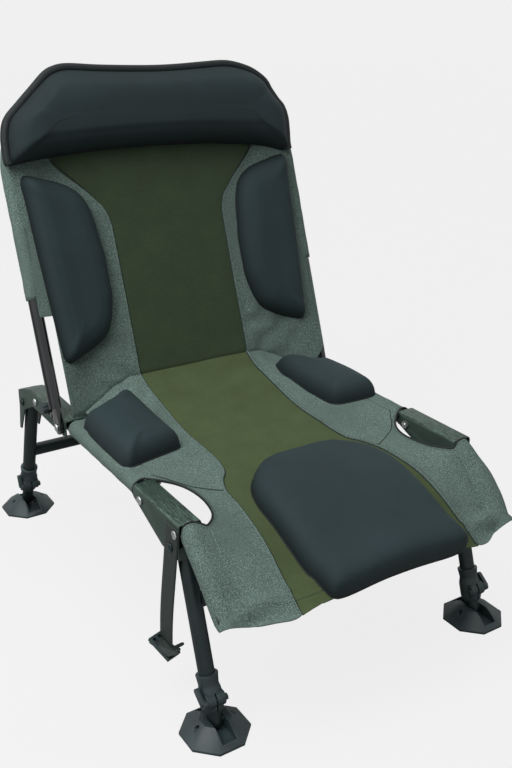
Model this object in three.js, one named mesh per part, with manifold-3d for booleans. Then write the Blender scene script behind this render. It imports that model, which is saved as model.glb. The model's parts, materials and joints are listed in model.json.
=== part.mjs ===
import * as THREE from 'three';
import { mergeVertices } from 'three/addons/utils/BufferGeometryUtils.js';
import Module from 'manifold-3d';

// A folding carp fishing chair with a sling seat, a reclining back and four adjustable legs.
// Millimetres, +Z up, the front of the seat towards -Y, the sitter's right side at -X.

const wasm = await Module();
wasm.setup();

// Driving dimensions of the seat frame

const railSpacing = 526;
const railHeight = 304;
const railDiameter = 25;
const railWall = 1.5;
const railRearY = 325;
const railBendY = -236;
const railBendRadius = 50;
const railBendAngle = THREE.MathUtils.degToRad(45);
const railDropLength = 110;
const frontBarBow = 30;

// Driving dimensions of the backrest

const backPivotY = 172;
const backLean = THREE.MathUtils.degToRad(20.3);
const postOutsideRail = 23.3;
const postDiameter = 22;
const postLength = 587;
const postCornerRadius = 150;

// Driving dimensions of the legs

const legDiameter = 25;
const legWall = 1.2;
const extensionDiameter = 22;
const legDropBelowRail = 28;
const frontPivotY = -236;
const rearPivotY = 376;
const frontLean = THREE.MathUtils.degToRad(18.7);
const rearLean = THREE.MathUtils.degToRad(-18);
const frontTubeAbovePin = 44.4;
const rearTubeAbovePin = 63.3;
const frontCrossShare = 0.386;
const rearCrossShare = 0.64;

// Clearances and shared hardware sizes

const gap = 0.3;
const overrun = 6;
const sliver = 0.02;
const boltDiameter = 8;
const boltHeadDiameter = 14;
const boltHeadHeight = 4.5;
const nutHeight = 5;

// Facets

const tubeSegments = 6;
const rodSides = 12;
const boltSides = 9;
const bendSteps = 4;
const nutSides = 6;

const railX = railSpacing / 2;
const railRadius = railDiameter / 2;
const legRadius = legDiameter / 2;
const extensionRadius = extensionDiameter / 2;
const postX = railX + postOutsideRail;
const postRadius = postDiameter / 2;
const boltRadius = boltDiameter / 2;
const legPivotZ = railHeight - legDropBelowRail;

// Materials

const paintedFrame = new THREE.MeshStandardMaterial({ color: 0x1c2929, roughness: 0.45, metalness: 0.6 });
const glossTube = new THREE.MeshStandardMaterial({ color: 0x12181a, roughness: 0.2, metalness: 0.7 });
const bracketPaint = new THREE.MeshStandardMaterial({ color: 0x334440, roughness: 0.6, metalness: 0.5 });
const blackPlastic = new THREE.MeshStandardMaterial({ color: 0x263636, roughness: 0.5, metalness: 0 });
const plainSteel = new THREE.MeshStandardMaterial({ color: 0x9aa2a0, roughness: 0.35, metalness: 0.9 });
const greyFabric = new THREE.MeshStandardMaterial({ color: 0x55665f, roughness: 0.95, metalness: 0 });
const padFabric = new THREE.MeshStandardMaterial({ color: 0x263233, roughness: 0.9, metalness: 0 });
const webbing = new THREE.MeshStandardMaterial({ color: 0x1d2623, roughness: 0.9, metalness: 0 });

// Solids and meshes

function toSolid(geometry) {
  const bare = geometry.clone();
  bare.deleteAttribute('normal');
  bare.deleteAttribute('uv');
  const merged = mergeVertices(bare);
  return new wasm.Manifold(new wasm.Mesh({
    numProp: 3,
    vertProperties: new Float32Array(merged.attributes.position.array),
    triVerts: new Uint32Array(merged.index.array),
  }));
}

function toMesh(name, solid, material) {
  const data = solid.getMesh();
  const geometry = new THREE.BufferGeometry();
  geometry.setAttribute('position', new THREE.BufferAttribute(data.vertProperties, data.numProp));
  geometry.setIndex(new THREE.BufferAttribute(data.triVerts, 1));
  geometry.computeVertexNormals();
  const mesh = new THREE.Mesh(geometry, material);
  mesh.name = name;
  return mesh;
}

function union(...solids) {
  return solids.reduce((whole, piece) => whole.add(piece));
}

function cut(solid, ...tools) {
  return tools.reduce((left, tool) => left.subtract(tool), solid);
}

// A straight round bar between two points
function rod(radius, from, to, sides = rodSides) {
  const start = new THREE.Vector3(...from);
  const end = new THREE.Vector3(...to);
  const geometry = new THREE.CylinderGeometry(radius, radius, start.distanceTo(end), sides);
  const direction = end.clone().sub(start).normalize();
  geometry.applyQuaternion(new THREE.Quaternion().setFromUnitVectors(new THREE.Vector3(0, 1, 0), direction));
  const middle = start.lerp(end, 0.5);
  geometry.translate(middle.x, middle.y, middle.z);
  return toSolid(geometry);
}

// A box between two corners
function block(low, high) {
  const size = high.map((value, axis) => value - low[axis]);
  const geometry = new THREE.BoxGeometry(...size);
  geometry.translate(...high.map((value, axis) => (value + low[axis]) / 2));
  return toSolid(geometry);
}

// A plate whose outline lies in the YZ plane, between two places along X
function plateAlongX(outline, from, to) {
  const low = Math.min(from, to);
  const shape = new THREE.Shape(outline.map(([y, z]) => new THREE.Vector2(y, z)));
  const geometry = new THREE.ExtrudeGeometry(shape, {
    depth: Math.abs(to - from), bevelEnabled: false, curveSegments: tubeSegments,
  });
  const axes = new THREE.Matrix4().makeBasis(
    new THREE.Vector3(0, 1, 0), new THREE.Vector3(0, 0, 1), new THREE.Vector3(1, 0, 0));
  geometry.applyMatrix4(axes);
  geometry.translate(low, 0, 0);
  return toSolid(geometry);
}

// A curve through stations, straight between them, that is sampled at the stations alone
class StationPath extends THREE.Curve {
  constructor(stations) {
    super();
    this.stations = stations;
  }

  getPoint(t, target = new THREE.Vector3()) {
    const last = this.stations.length - 1;
    const index = Math.min(Math.floor(t * last), last - 1);
    return target.lerpVectors(this.stations[index], this.stations[index + 1], t * last - index);
  }

  getPointAt(u, target) {
    return this.getPoint(u, target);
  }

  getTangent(t, target = new THREE.Vector3()) {
    const last = this.stations.length - 1;
    const index = Math.round(t * last);
    const here = this.stations[index];
    target.set(0, 0, 0);
    if (index > 0) target.add(here.clone().sub(this.stations[index - 1]).normalize());
    if (index < last) target.add(this.stations[index + 1].clone().sub(here).normalize());
    return target.normalize();
  }

  getTangentAt(u, target) {
    return this.getTangent(u, target);
  }
}

// A round bar along stations
function bar(stations, radius) {
  const circle = new THREE.Shape().absarc(0, 0, radius, 0, Math.PI * 2);
  return toSolid(new THREE.ExtrudeGeometry(circle, {
    steps: stations.length - 1,
    curveSegments: tubeSegments,
    extrudePath: new StationPath(stations),
  }));
}

// The same stations with both ends carried on by a length
function lengthened(stations, length) {
  const first = stations[0].clone().sub(stations[1]).setLength(length).add(stations[0]);
  const end = stations.at(-1);
  const last = end.clone().sub(stations.at(-2)).setLength(length).add(end);
  return [first, ...stations.slice(1, -1), last];
}

// An open-ended round tube along stations
function tube(stations, radius, wall) {
  return cut(bar(stations, radius), bar(lengthened(stations, overrun), radius - wall));
}

// A turned piece about a line along X; the profile gives radius and distance outwards
function turnedAlongX(side, profile, y, z, sides = rodSides) {
  const points = profile.map(([radius, reach]) => new THREE.Vector2(radius, reach));
  const geometry = new THREE.LatheGeometry(points, sides);
  geometry.rotateZ(-side * Math.PI / 2);
  geometry.translate(0, y, z);
  return toSolid(geometry);
}

// A domed bolt along X with a nut on its inner end; the side is -1 or +1
function boltAlongX(side, innerX, outerX, y, z) {
  const domeShare = 0.6;
  const headRadius = boltHeadDiameter / 2;
  const head = outerX + gap;
  const top = head + boltHeadHeight;
  const profile = [
    [0, innerX - nutHeight / 2], [boltRadius, innerX - nutHeight / 2], [boltRadius, head], [headRadius, head],
    [headRadius, head + boltHeadHeight / 2], [headRadius * domeShare, top], [0, top],
  ];
  const bolt = turnedAlongX(side, profile, y, z, boltSides);
  const nut = rod(headRadius, [side * (innerX - nutHeight), y, z], [side * (innerX - gap), y, z], nutSides);
  return union(bolt, nut);
}

// A hole whose flats clear the round shank, however the piece around it is turned
function boltHole(side, innerX, outerX, y, z) {
  const radius = (boltRadius + gap) / Math.cos(Math.PI / boltSides);
  return rod(radius, [side * (innerX - overrun), y, z], [side * (outerX + overrun), y, z], boltSides);
}

// Seat rails and the front bar, which bows square to the rails' bent ends

function railStations(x) {
  const stations = [new THREE.Vector3(x, railRearY, railHeight)];
  for (let step = 0; step <= bendSteps; step += 1) {
    const angle = railBendAngle * step / bendSteps;
    stations.push(new THREE.Vector3(
      x, railBendY - railBendRadius * Math.sin(angle), railHeight - railBendRadius * (1 - Math.cos(angle))));
  }
  const end = stations.at(-1);
  stations.push(new THREE.Vector3(
    x, end.y - railDropLength * Math.cos(railBendAngle), end.z - railDropLength * Math.sin(railBendAngle)));
  return stations;
}

const railEnd = railStations(railX).at(-1);

function frontBarStations() {
  const steps = 6;
  const reach = railX + railRadius;
  return Array.from({ length: steps + 1 }, (_, index) => {
    const share = index / steps * 2 - 1;
    const bow = frontBarBow * (1 - share * share);
    return new THREE.Vector3(
      share * reach, railEnd.y - bow * Math.sin(railBendAngle), railEnd.z + bow * Math.cos(railBendAngle));
  });
}

// Brackets: folded channels that hold the rail under their top plate

const bracketPlate = 2.5;
const bracketInnerWidth = 33;
const bracketBolt = { front: -137, rear: 300 };
const cheekBelowPivot = 14;
const frontCheekReach = 124;
const frontCheekHeel = 30;
const cheekBelowRail = 4;
const frontWebHeight = 6;
const rearBracketStart = 156;
const capTopSetback = 50;
const capHump = { setback: 16, drop: 9 };
const capShoulderAbovePivot = 20;
const rearCheekTail = { length: 50, back: 9, width: 8 };
const rearCheekToe = 6;
const rearCheekHeel = 56;
const lobeRadius = 14;

const bracketTopZ = railHeight + railRadius + gap + bracketPlate;
const channelX = { inner: railX - bracketInnerWidth / 2, outer: railX + bracketInnerWidth / 2 };
const cheekX = { inner: channelX.inner - bracketPlate, outer: channelX.outer + bracketPlate };
const cheekBottomZ = legPivotZ - cheekBelowPivot;

// How far from its pivot a leg's outer face stands, level with the cheeks' lower edge
function legReachAtCheek(lean) {
  return Math.tan(Math.abs(lean)) * cheekBelowPivot + legRadius / Math.cos(lean) + gap;
}

const frontWebY = frontPivotY - legReachAtCheek(frontLean);
const rearCapY = rearPivotY + legReachAtCheek(rearLean);

// The recline lock: a stud on the rear bracket and an open slot in the back post's foot plate

const studRadiusFromPivot = 52;
const studAngle = THREE.MathUtils.degToRad(22);
const studY = backPivotY + studRadiusFromPivot * Math.cos(studAngle);
const studZ = railHeight + studRadiusFromPivot * Math.sin(studAngle);

function frontBracket(side) {
  const frontY = frontWebY - bracketPlate;
  const rearY = frontPivotY + frontCheekReach;
  const lowRearZ = railHeight - cheekBelowRail;
  const outline = [
    [rearY, bracketTopZ], [frontY, bracketTopZ], [frontY, cheekBottomZ],
    [frontPivotY + frontCheekHeel, cheekBottomZ], [rearY, lowRearZ],
  ];
  const underTop = bracketTopZ - bracketPlate;
  const below = cheekBottomZ - overrun;
  const inside = plateAlongX(
    [[rearY + overrun, underTop], [frontWebY, underTop], [frontWebY, below], [rearY + overrun, below]],
    side * channelX.inner, side * channelX.outer);
  const railWay = plateAlongX(
    [[frontWebY + gap, underTop], [frontY - overrun, underTop],
      [frontY - overrun, legPivotZ + frontWebHeight], [frontWebY + gap, legPivotZ + frontWebHeight]],
    side * channelX.inner, side * channelX.outer);
  const holes = [
    boltHole(side, cheekX.inner, cheekX.outer, bracketBolt.front, railHeight),
    boltHole(side, cheekX.inner, cheekX.outer, frontPivotY, legPivotZ),
  ];
  if (side < 0) holes.push(strapRivetHole());
  return cut(plateAlongX(outline, side * cheekX.inner, side * cheekX.outer), inside, railWay, ...holes);
}

function rearBracket(side) {
  const lowZ = railHeight - railRadius - cheekBelowRail;
  const capOuterY = rearCapY + bracketPlate;
  const shoulderZ = legPivotZ + capShoulderAbovePivot;
  const tailZ = cheekBottomZ - rearCheekTail.length;
  const tailY = capOuterY + rearCheekTail.back;
  const hump = [rearPivotY - capHump.setback, bracketTopZ - capHump.drop];
  const outline = [
    [rearBracketStart, lowZ], [rearBracketStart, bracketTopZ],
    [rearPivotY - capTopSetback, bracketTopZ], hump,
    [capOuterY, shoulderZ], [capOuterY, cheekBottomZ], [tailY, tailZ], [tailY - rearCheekTail.width, tailZ],
    [rearPivotY - rearCheekToe, cheekBottomZ], [rearPivotY - rearCheekHeel, lowZ],
  ];
  const underTop = bracketTopZ - bracketPlate;
  const start = rearBracketStart - overrun;
  const beyond = tailY + overrun;
  const below = tailZ - overrun;
  const inside = plateAlongX(
    [[start, below], [start, underTop], [rearPivotY - capTopSetback, underTop],
      [hump[0] - bracketPlate / 2, hump[1] - bracketPlate], [rearCapY, shoulderZ - bracketPlate / 2],
      [rearCapY, cheekBottomZ], [beyond, cheekBottomZ], [beyond, below]],
    side * channelX.inner, side * channelX.outer);
  const lobe = rod(lobeRadius, [side * channelX.outer, studY, studZ], [side * cheekX.outer, studY, studZ]);
  const body = union(plateAlongX(outline, side * cheekX.inner, side * cheekX.outer), lobe);
  return cut(
    body, inside,
    boltHole(side, cheekX.inner, cheekX.outer, backPivotY, railHeight),
    boltHole(side, cheekX.inner, cheekX.outer, bracketBolt.rear, railHeight),
    boltHole(side, cheekX.inner, cheekX.outer, rearPivotY, legPivotZ),
    rod(
      boltRadius + gap, [side * (channelX.outer - gap), studY, studZ],
      [side * (cheekX.outer + overrun), studY, studZ]));
}

// A rail with its holes, butted onto the front bar
function seatRail(side) {
  const x = side * railX;
  const holes = [backPivotY, bracketBolt.front, bracketBolt.rear].map(
    (y) => boltHole(side, cheekX.inner, cheekX.outer, y, railHeight));
  const joint = bar(frontBarStations(), railRadius + gap);
  return cut(tube(railStations(x), railRadius, railWall), joint, ...holes);
}

// The sling: one surface for the seat and one for the back, with sleeves round the tubes

const sheetThickness = 4;
const sleeveWall = 2.4;
const slingFlatInsideRail = 135;
const slingEdgeInsideRail = 3;
const slingTuck = 5;
const creaseY = 196;
const creaseRise = 58;
const creaseTuck = 2;
const creaseGap = 3;
const seatSleeveRearY = 152;
const hemY = -403;
const seatEdgeHemY = -364;
const seatEdgeLift = 13;
const hemDroop = 14;
const hemDroopWidth = 270;
const hemDroopStartShare = 0.82;

// Share of the way from crease to hem, and share of the crease's rise above the rails
const seatCentreShares = [
  [0, 1], [0.055, 0.72], [0.11, 0.57], [0.22, 0.27], [0.31, 0.12], [0.44, 0.05], [0.6, -0.13],
  [0.68, -0.19], [0.76, -0.33], [0.845, -0.6], [0.92, -0.85], [0.97, -0.98], [1, -1.14],
];

const cloth = {
  seatColumns: 12, seatRows: 11, backColumns: 12, backRows: 8, blockDepth: 30,
};

const slingFlatHalfWidth = railX - slingFlatInsideRail;
const slingEdgeHalfWidth = railX - slingEdgeInsideRail;
const seatCentreCurve = new THREE.SplineCurve(
  seatCentreShares.map(([along, rise]) => new THREE.Vector2(along, rise)));

function seatCentreHeight(share) {
  const shares = seatCentreShares;
  const index = Math.max(1, shares.findIndex(([along]) => along >= share));
  const [from, low] = shares[index - 1];
  const [to, high] = shares[index];
  const t = (index - 1 + (share - from) / (to - from)) / (shares.length - 1);
  return seatCentreCurve.getPoint(Math.min(t, 1)).y * creaseRise + railHeight;
}

// Height of the cloth over a rail, level at the rear and falling with the rail at the front
function railTopHeight(y) {
  const level = railHeight + seatEdgeLift;
  const outer = railBendRadius + seatEdgeLift;
  const outerEnd = railBendY - outer * Math.sin(railBendAngle);
  if (y >= railBendY) return level;
  if (y >= outerEnd) return railHeight - railBendRadius + Math.sqrt(outer * outer - (railBendY - y) ** 2);
  const drop = outer * (1 - Math.cos(railBendAngle));
  return level - drop - (outerEnd - y) * Math.tan(railBendAngle);
}

function smooth(value, from, to) {
  return THREE.MathUtils.smoothstep(value, from, to);
}

// A point of the seat's upper face: x across, share from the crease to the hem
function seatPoint(x, share) {
  const blend = smooth(Math.abs(x), slingFlatHalfWidth, slingEdgeHalfWidth);
  const rearY = backPivotY + Math.tan(backLean) * creaseHeight(x) + creaseTuck;
  const frontY = THREE.MathUtils.lerp(hemY, seatEdgeHemY, blend);
  const y = THREE.MathUtils.lerp(rearY, frontY, share);
  const edgeY = THREE.MathUtils.lerp(backPivotY, seatEdgeHemY, share);
  const wave = Math.sin((Math.PI * Math.min(Math.abs(x), hemDroopWidth)) / hemDroopWidth);
  const droop = hemDroop * wave * wave * smooth(share, hemDroopStartShare, 1);
  const z = THREE.MathUtils.lerp(seatCentreHeight(share), railTopHeight(edgeY), blend) - droop;
  return new THREE.Vector3(x, y, z);
}

// Height of the crease between seat and back above the rails
function creaseHeight(x) {
  const blend = smooth(Math.abs(x), slingFlatHalfWidth, slingEdgeHalfWidth);
  return THREE.MathUtils.lerp(creaseRise, seatEdgeLift, blend);
}

const backEdgeInsidePost = 24.3;
const backDishInsidePost = 86.3;
const backEdgeHalfWidth = postX - backEdgeInsidePost;
const backDishStart = postX - backDishInsidePost;
const backTopDishStart = 60;
const sleeveStart = 226;
// The right-hand edge runs on in front of its post, down to this place
const rightEdgeStart = 78;

// A point of the back's front face in the backrest's own frame, share from the crease to the top bar
function backPoint(x, share) {
  const bottom = creaseHeight(x) / Math.cos(backLean) + creaseGap;
  const top = postLength - slingTuck;
  const along = THREE.MathUtils.lerp(bottom, top, share);
  const sideways = smooth(Math.abs(x), backDishStart, postX - slingTuck);
  const upwards = smooth(along, postLength - backTopDishStart, postLength - slingTuck);
  const forward = (postRadius + gap) * Math.max(sideways, upwards);
  return new THREE.Vector3(x, -forward, along);
}

// Half the width of the back's sheet at a place along the posts, inside the frame's round corners
function backHalfWidth(along) {
  const straight = postLength - postCornerRadius;
  const inset = postX - slingTuck;
  if (along <= straight) return inset;
  const rise = Math.min(along - straight, postCornerRadius - slingTuck);
  const corner = postCornerRadius - slingTuck;
  return inset - corner + Math.sqrt(Math.max(corner * corner - rise * rise, 0));
}

function surfaceNormal(point, a, b, stepA, stepB) {
  const alongA = point(a + stepA, b).sub(point(a - stepA, b));
  const alongB = point(a, b + stepB).sub(point(a, b - stepB));
  return alongA.cross(alongB).normalize();
}

// Builds a closed solid from rings or rows of points that share one index table
function shellSolid(points, triangles) {
  const geometry = new THREE.BufferGeometry().setFromPoints(points);
  geometry.setIndex(triangles.flat());
  const solid = toSolid(geometry);
  if (solid.volume() > 0) return solid;
  geometry.setIndex(triangles.map(([a, b, c]) => [a, c, b]).flat());
  return toSolid(geometry);
}

// A sheet of even thickness under a grid of points
function sheet(grid, normals, thickness) {
  const rows = grid.length;
  const columns = grid[0].length;
  const top = grid.flat();
  const outwards = normals.flat();
  const under = top.map((point, index) => point.clone().addScaledVector(outwards[index], -thickness));
  const count = rows * columns;
  const at = (row, column) => row * columns + column;
  const triangles = [];
  const quad = (a, b, c, d) => triangles.push([a, b, c], [a, c, d]);
  for (let row = 0; row < rows - 1; row += 1) {
    for (let column = 0; column < columns - 1; column += 1) {
      const corners = [
        at(row, column), at(row, column + 1), at(row + 1, column + 1), at(row + 1, column),
      ];
      quad(...corners);
      quad(...corners.map((index) => index + count).reverse());
    }
  }
  const rim = [];
  for (let column = 0; column < columns - 1; column += 1) rim.push(at(0, column));
  for (let row = 0; row < rows - 1; row += 1) rim.push(at(row, columns - 1));
  for (let column = columns - 1; column > 0; column -= 1) rim.push(at(rows - 1, column));
  for (let row = rows - 1; row > 0; row -= 1) rim.push(at(row, 0));
  rim.forEach((here, index) => {
    const next = rim[(index + 1) % rim.length];
    quad(here, here + count, next + count, next);
  });
  return shellSolid([...top, ...under], triangles);
}

function gridOf(rows, columns, place) {
  return Array.from({ length: rows + 1 }, (_, row) => (
    Array.from({ length: columns + 1 }, (__, column) => place(row / rows, column / columns * 2 - 1))));
}

function frontwards() {
  return new THREE.Vector3(0, -1, 0);
}

const probe = { across: 0.5, alongShare: 0.002 };

function seatNormal(x, share) {
  const { across, alongShare } = probe;
  return surfaceNormal(
    seatPoint, x, THREE.MathUtils.clamp(share, alongShare, 1 - alongShare), across, -alongShare);
}

// The openings in the seat cover where the front brackets stand

const cutoutWidth = 63;
const cutoutRearY = -96;
const cutoutFrontY = -262;
const cutoutDepth = 70;

// Share of the way from the opening's inner edge to the rail, and from its rear end to its front end
const cutoutShares = [
  [1, 0], [0.4, 0.145], [0.06, 0.265], [0, 0.44], [0.05, 0.64], [0.22, 0.87], [0.5, 1], [1, 1],
];

function seatCutout(side) {
  const far = railX + railDiameter + cutoutDepth;
  const edge = cutoutShares.map(([across, along]) => new THREE.Vector2(
    side * (railX - cutoutWidth * (1 - across)),
    THREE.MathUtils.lerp(cutoutRearY, cutoutFrontY, along)));
  const shape = new THREE.Shape([
    new THREE.Vector2(side * far, cutoutRearY), ...edge, new THREE.Vector2(side * far, cutoutFrontY)]);
  const geometry = new THREE.ExtrudeGeometry(shape, { depth: cutoutDepth * 2, bevelEnabled: false });
  geometry.translate(0, 0, railHeight - cutoutDepth);
  return toSolid(geometry);
}

// The seat's panel with its sleeves, raised by a lift and taken down to a depth
function seatForm(lift, depth) {
  const half = railX - slingTuck;
  const { seatRows, seatColumns } = cloth;
  const normals = gridOf(seatRows, seatColumns, (row, column) => seatNormal(column * half, row));
  const grid = gridOf(seatRows, seatColumns, (row, column) => seatPoint(column * half, row));
  const raised = grid.map((line, row) => (
    line.map((point, column) => point.addScaledVector(normals[row][column], lift))));
  const sleeves = [-1, 1].map((side) => bar(
    [new THREE.Vector3(side * railX, seatSleeveRearY, railHeight), ...railStations(side * railX).slice(1)],
    railRadius + gap + sleeveWall + lift));
  const hem = bar(frontBarStations(), railRadius + gap + sleeveWall + lift);
  return union(sheet(raised, normals, depth), hem, ...sleeves);
}

function seatCover() {
  const bores = [-1, 1].map((side) => bar(lengthened(railStations(side * railX), overrun), railRadius + gap));
  const bracketTrims = [-1, 1].map((side) => block(
    [Math.min(side * (cheekX.inner - gap), side * cheekX.outer), seatSleeveRearY, legPivotZ],
    [Math.max(side * (cheekX.inner - gap), side * cheekX.outer), creaseY, railHeight + creaseRise]));
  const frontBore = bar(lengthened(frontBarStations(), overrun), railRadius + gap);
  const cover = cut(
    seatForm(0, sheetThickness), ...bores, frontBore, seatCutout(-1), seatCutout(1), ...bracketTrims);
  return cover.simplify(sliver);
}

// Pads: a crowned cushion on a surface, from an outline of places on it

const padSink = 5;

// Share of the outline's size and share of the height, from the base's edge up to the crown
const padBaseShares = [0.5, 0];
const padSideShares = [
  [0.95, 0], [0.99, 0.16], [1, 0.36], [0.985, 0.58], [0.94, 0.76], [0.84, 0.89], [0.6, 0.97], [0.3, 1],
];

function cushion(point, normal, outline, height, sideShares = padSideShares) {
  const centre = new THREE.Vector2();
  for (const place of outline) centre.add(place);
  centre.divideScalar(outline.length);
  const raised = (place, above) => (
    point(place.x, place.y).addScaledVector(normal(place.x, place.y), above - padSink));
  const rings = [padBaseShares, ...sideShares];
  const points = rings.flatMap(([size, rise]) => (
    outline.map((place) => raised(centre.clone().lerp(place, size), rise * height))));
  const count = outline.length;
  const under = points.push(raised(centre, 0)) - 1;
  const crown = points.push(raised(centre, height)) - 1;
  const triangles = [];
  for (let index = 0; index < count; index += 1) {
    const next = (index + 1) % count;
    triangles.push([under, next, index]);
    for (let ring = 0; ring < rings.length - 1; ring += 1) {
      const here = ring * count;
      const above = here + count;
      triangles.push([here + index, here + next, above + next], [here + index, above + next, above + index]);
    }
    const top = (rings.length - 1) * count;
    triangles.push([crown, top + index, top + next]);
  }
  return shellSolid(points, triangles);
}

// A closed outline with rounded corners, spaced evenly
function roundedOutline(corners, roundness, count) {
  const shape = new THREE.Shape();
  corners.forEach((corner, index) => {
    const before = corners.at(index - 1);
    const after = corners[(index + 1) % corners.length];
    const start = new THREE.Vector2(...corner).lerp(new THREE.Vector2(...before), roundness);
    const end = new THREE.Vector2(...corner).lerp(new THREE.Vector2(...after), roundness);
    if (index === 0) shape.moveTo(start.x, start.y);
    else shape.lineTo(start.x, start.y);
    shape.quadraticCurveTo(...corner, end.x, end.y);
  });
  shape.closePath();
  return shape.getSpacedPoints(count).slice(0, -1);
}

const hipPad = {
  insideRail: 54, width: 147, height: 45, rearShare: 0.09, frontShare: 0.372, roundness: 0.26, points: 24,
};
// Shares of half the pad's width and of its length from rear to front
const hipPadShares = [[-0.74, 0], [0.8, 0.02], [1.01, 0.5], [0.88, 1], [-0.95, 1], [-0.98, 0.5]];

function hipPadSolid(side) {
  const corners = hipPadShares.map(([across, along]) => [
    side * (railX - hipPad.insideRail + across * hipPad.width / 2),
    THREE.MathUtils.lerp(hipPad.rearShare, hipPad.frontShare, along),
  ]);
  const outline = roundedOutline(corners, hipPad.roundness, hipPad.points);
  return cut(cushion(seatPoint, seatNormal, outline, hipPad.height), seatBed);
}

const thighPad = { width: 268, height: 41, rearShare: 0.535, frontShare: 0.992, roundness: 0.3, points: 32 };
// Shares of half the pad's width and of its length from rear to front
const thighPadShares = [
  [-0.32, 0.02], [0.32, 0.02], [0.74, 0.12], [0.93, 0.26], [1, 0.45], [1, 0.95], [0.94, 1],
  [-0.94, 1], [-1, 0.95], [-1, 0.45], [-0.93, 0.26], [-0.74, 0.12],
];

function thighPadSolid() {
  const corners = thighPadShares.map(([across, along]) => [
    across * thighPad.width / 2, THREE.MathUtils.lerp(thighPad.rearShare, thighPad.frontShare, along),
  ]);
  const outline = roundedOutline(corners, thighPad.roundness, thighPad.points);
  return cut(cushion(seatPoint, seatNormal, outline, thighPad.height), seatBed);
}

// Backrest pieces, in a frame whose origin is the back pivot and whose +Z runs up the posts

const postFlatThickness = 8;
const postFlatWidth = 26;
const postRoundStart = 34;
const postFlatOverlap = 12;
const reclinePlateThickness = 3;
const reclinePlateWidth = 24;
const reclineSlotTravel = THREE.MathUtils.degToRad(20);
const reclineSlotMouth = THREE.MathUtils.degToRad(19);

const topBarReach = postX - postCornerRadius - postDiameter;
const postFlatX = { inner: cheekX.outer + gap, outer: cheekX.outer + gap + postFlatThickness };

function postStations(side) {
  const stations = [new THREE.Vector3(side * postX, 0, postRoundStart)];
  const arcSteps = bendSteps + 2;
  for (let step = 0; step <= arcSteps; step += 1) {
    const angle = Math.PI / 2 * step / arcSteps;
    stations.push(new THREE.Vector3(
      side * (postX - postCornerRadius * (1 - Math.cos(angle))), 0,
      postLength - postCornerRadius + postCornerRadius * Math.sin(angle)));
  }
  stations.push(new THREE.Vector3(side * (topBarReach + gap), 0, postLength));
  return stations;
}

function backPost(side) {
  const plugEnd = postRoundStart + postFlatOverlap;
  const flat = plateAlongX(
    [[-postFlatWidth / 2, 0], [postFlatWidth / 2, 0], [postFlatWidth / 2, postRoundStart],
      [postRadius, plugEnd], [-postRadius, plugEnd],
      [-postFlatWidth / 2, postRoundStart]],
    side * postFlatX.inner, side * postFlatX.outer);
  const eye = rod(postFlatWidth / 2, [side * postFlatX.inner, 0, 0], [side * postFlatX.outer, 0, 0]);
  const plug = rod(postRadius - railWall / 2, [side * postX, 0, postRoundStart], [side * postX, 0, plugEnd]);
  const pivotHole = boltHole(side, cheekX.inner, postFlatX.outer, 0, 0);
  const round = tube(postStations(side), postRadius, railWall);
  return cut(union(round, plug, flat, eye, reclinePlate(side)), pivotHole);
}

// The slotted plate behind the post's foot, drawn with angles from the rearward direction at rest
function reclinePlate(side) {
  const turn = (angle, radius) => {
    const local = angle + backLean;
    return [radius * Math.cos(local), radius * Math.sin(local)];
  };
  const low = studAngle - reclineSlotMouth;
  const high = Math.PI / 2 - backLean;
  const innerRadius = studRadiusFromPivot - reclinePlateWidth / 2;
  const outerRadius = studRadiusFromPivot + reclinePlateWidth / 2;
  const arcPoints = (radius, from, to) => Array.from(
    { length: bendSteps + 1 }, (_, index) => turn(from + (to - from) * index / bendSteps, radius));
  const sector = [...arcPoints(outerRadius, low, high), ...arcPoints(innerRadius, high, low)];
  const slotEnd = studAngle + reclineSlotTravel;
  const slotHalf = boltRadius + gap * 2;
  const mouth = low - reclineSlotMouth;
  const slot = [
    ...arcPoints(studRadiusFromPivot + slotHalf, mouth, slotEnd),
    ...arcPoints(studRadiusFromPivot - slotHalf, slotEnd, mouth),
  ];
  const innerX = side * postFlatX.inner;
  const outerX = side * (postFlatX.inner + reclinePlateThickness);
  return cut(
    plateAlongX(sector, innerX, outerX),
    plateAlongX(slot, innerX - side * overrun, outerX + side * overrun));
}

function topBarStations() {
  return [-topBarReach, topBarReach].map((x) => new THREE.Vector3(x, 0, postLength));
}

// The posts' and the top bar's centre line as one run, from sleeve end to sleeve end
function backFrameStations(start) {
  const left = postStations(-1).slice(1);
  const right = postStations(1).slice(1).reverse();
  return [new THREE.Vector3(-postX, 0, start), ...left, ...right, new THREE.Vector3(postX, 0, start)];
}

// The back's panel with its sleeve, brought forward by a lift and taken back to a depth
function backForm(lift, depth) {
  const at = (row, column) => column * backHalfWidth(backPoint(0, row).z);
  const grid = gridOf(cloth.backRows, cloth.backColumns, (row, column) => {
    const point = backPoint(at(row, column), row);
    point.y -= lift;
    return point;
  });
  const normals = gridOf(cloth.backRows, cloth.backColumns, frontwards);
  const sleeve = bar(backFrameStations(sleeveStart), postRadius + gap + sleeveWall + lift);
  return union(sheet(grid, normals, depth), sleeve);
}

function backCover() {
  const bore = bar(backFrameStations(postRoundStart), postRadius + gap);
  const reach = postX + postDiameter;
  const trims = [[-1, sleeveStart], [1, rightEdgeStart]].map(([side, start]) => block(
    [Math.min(side * backEdgeHalfWidth, side * reach), -postDiameter, 0],
    [Math.max(side * backEdgeHalfWidth, side * reach), postDiameter, start]));
  return cut(backForm(0, sheetThickness), bore, ...trims);
}

// What the pads lie on

const seatBed = seatForm(gap, cloth.blockDepth);
const backBed = backForm(gap, cloth.blockDepth);

const backPad = {
  insidePost: 78.3, width: 127, height: 37, low: 110, highBelowBar: 157, roundness: 0.22, points: 28,
};
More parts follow.
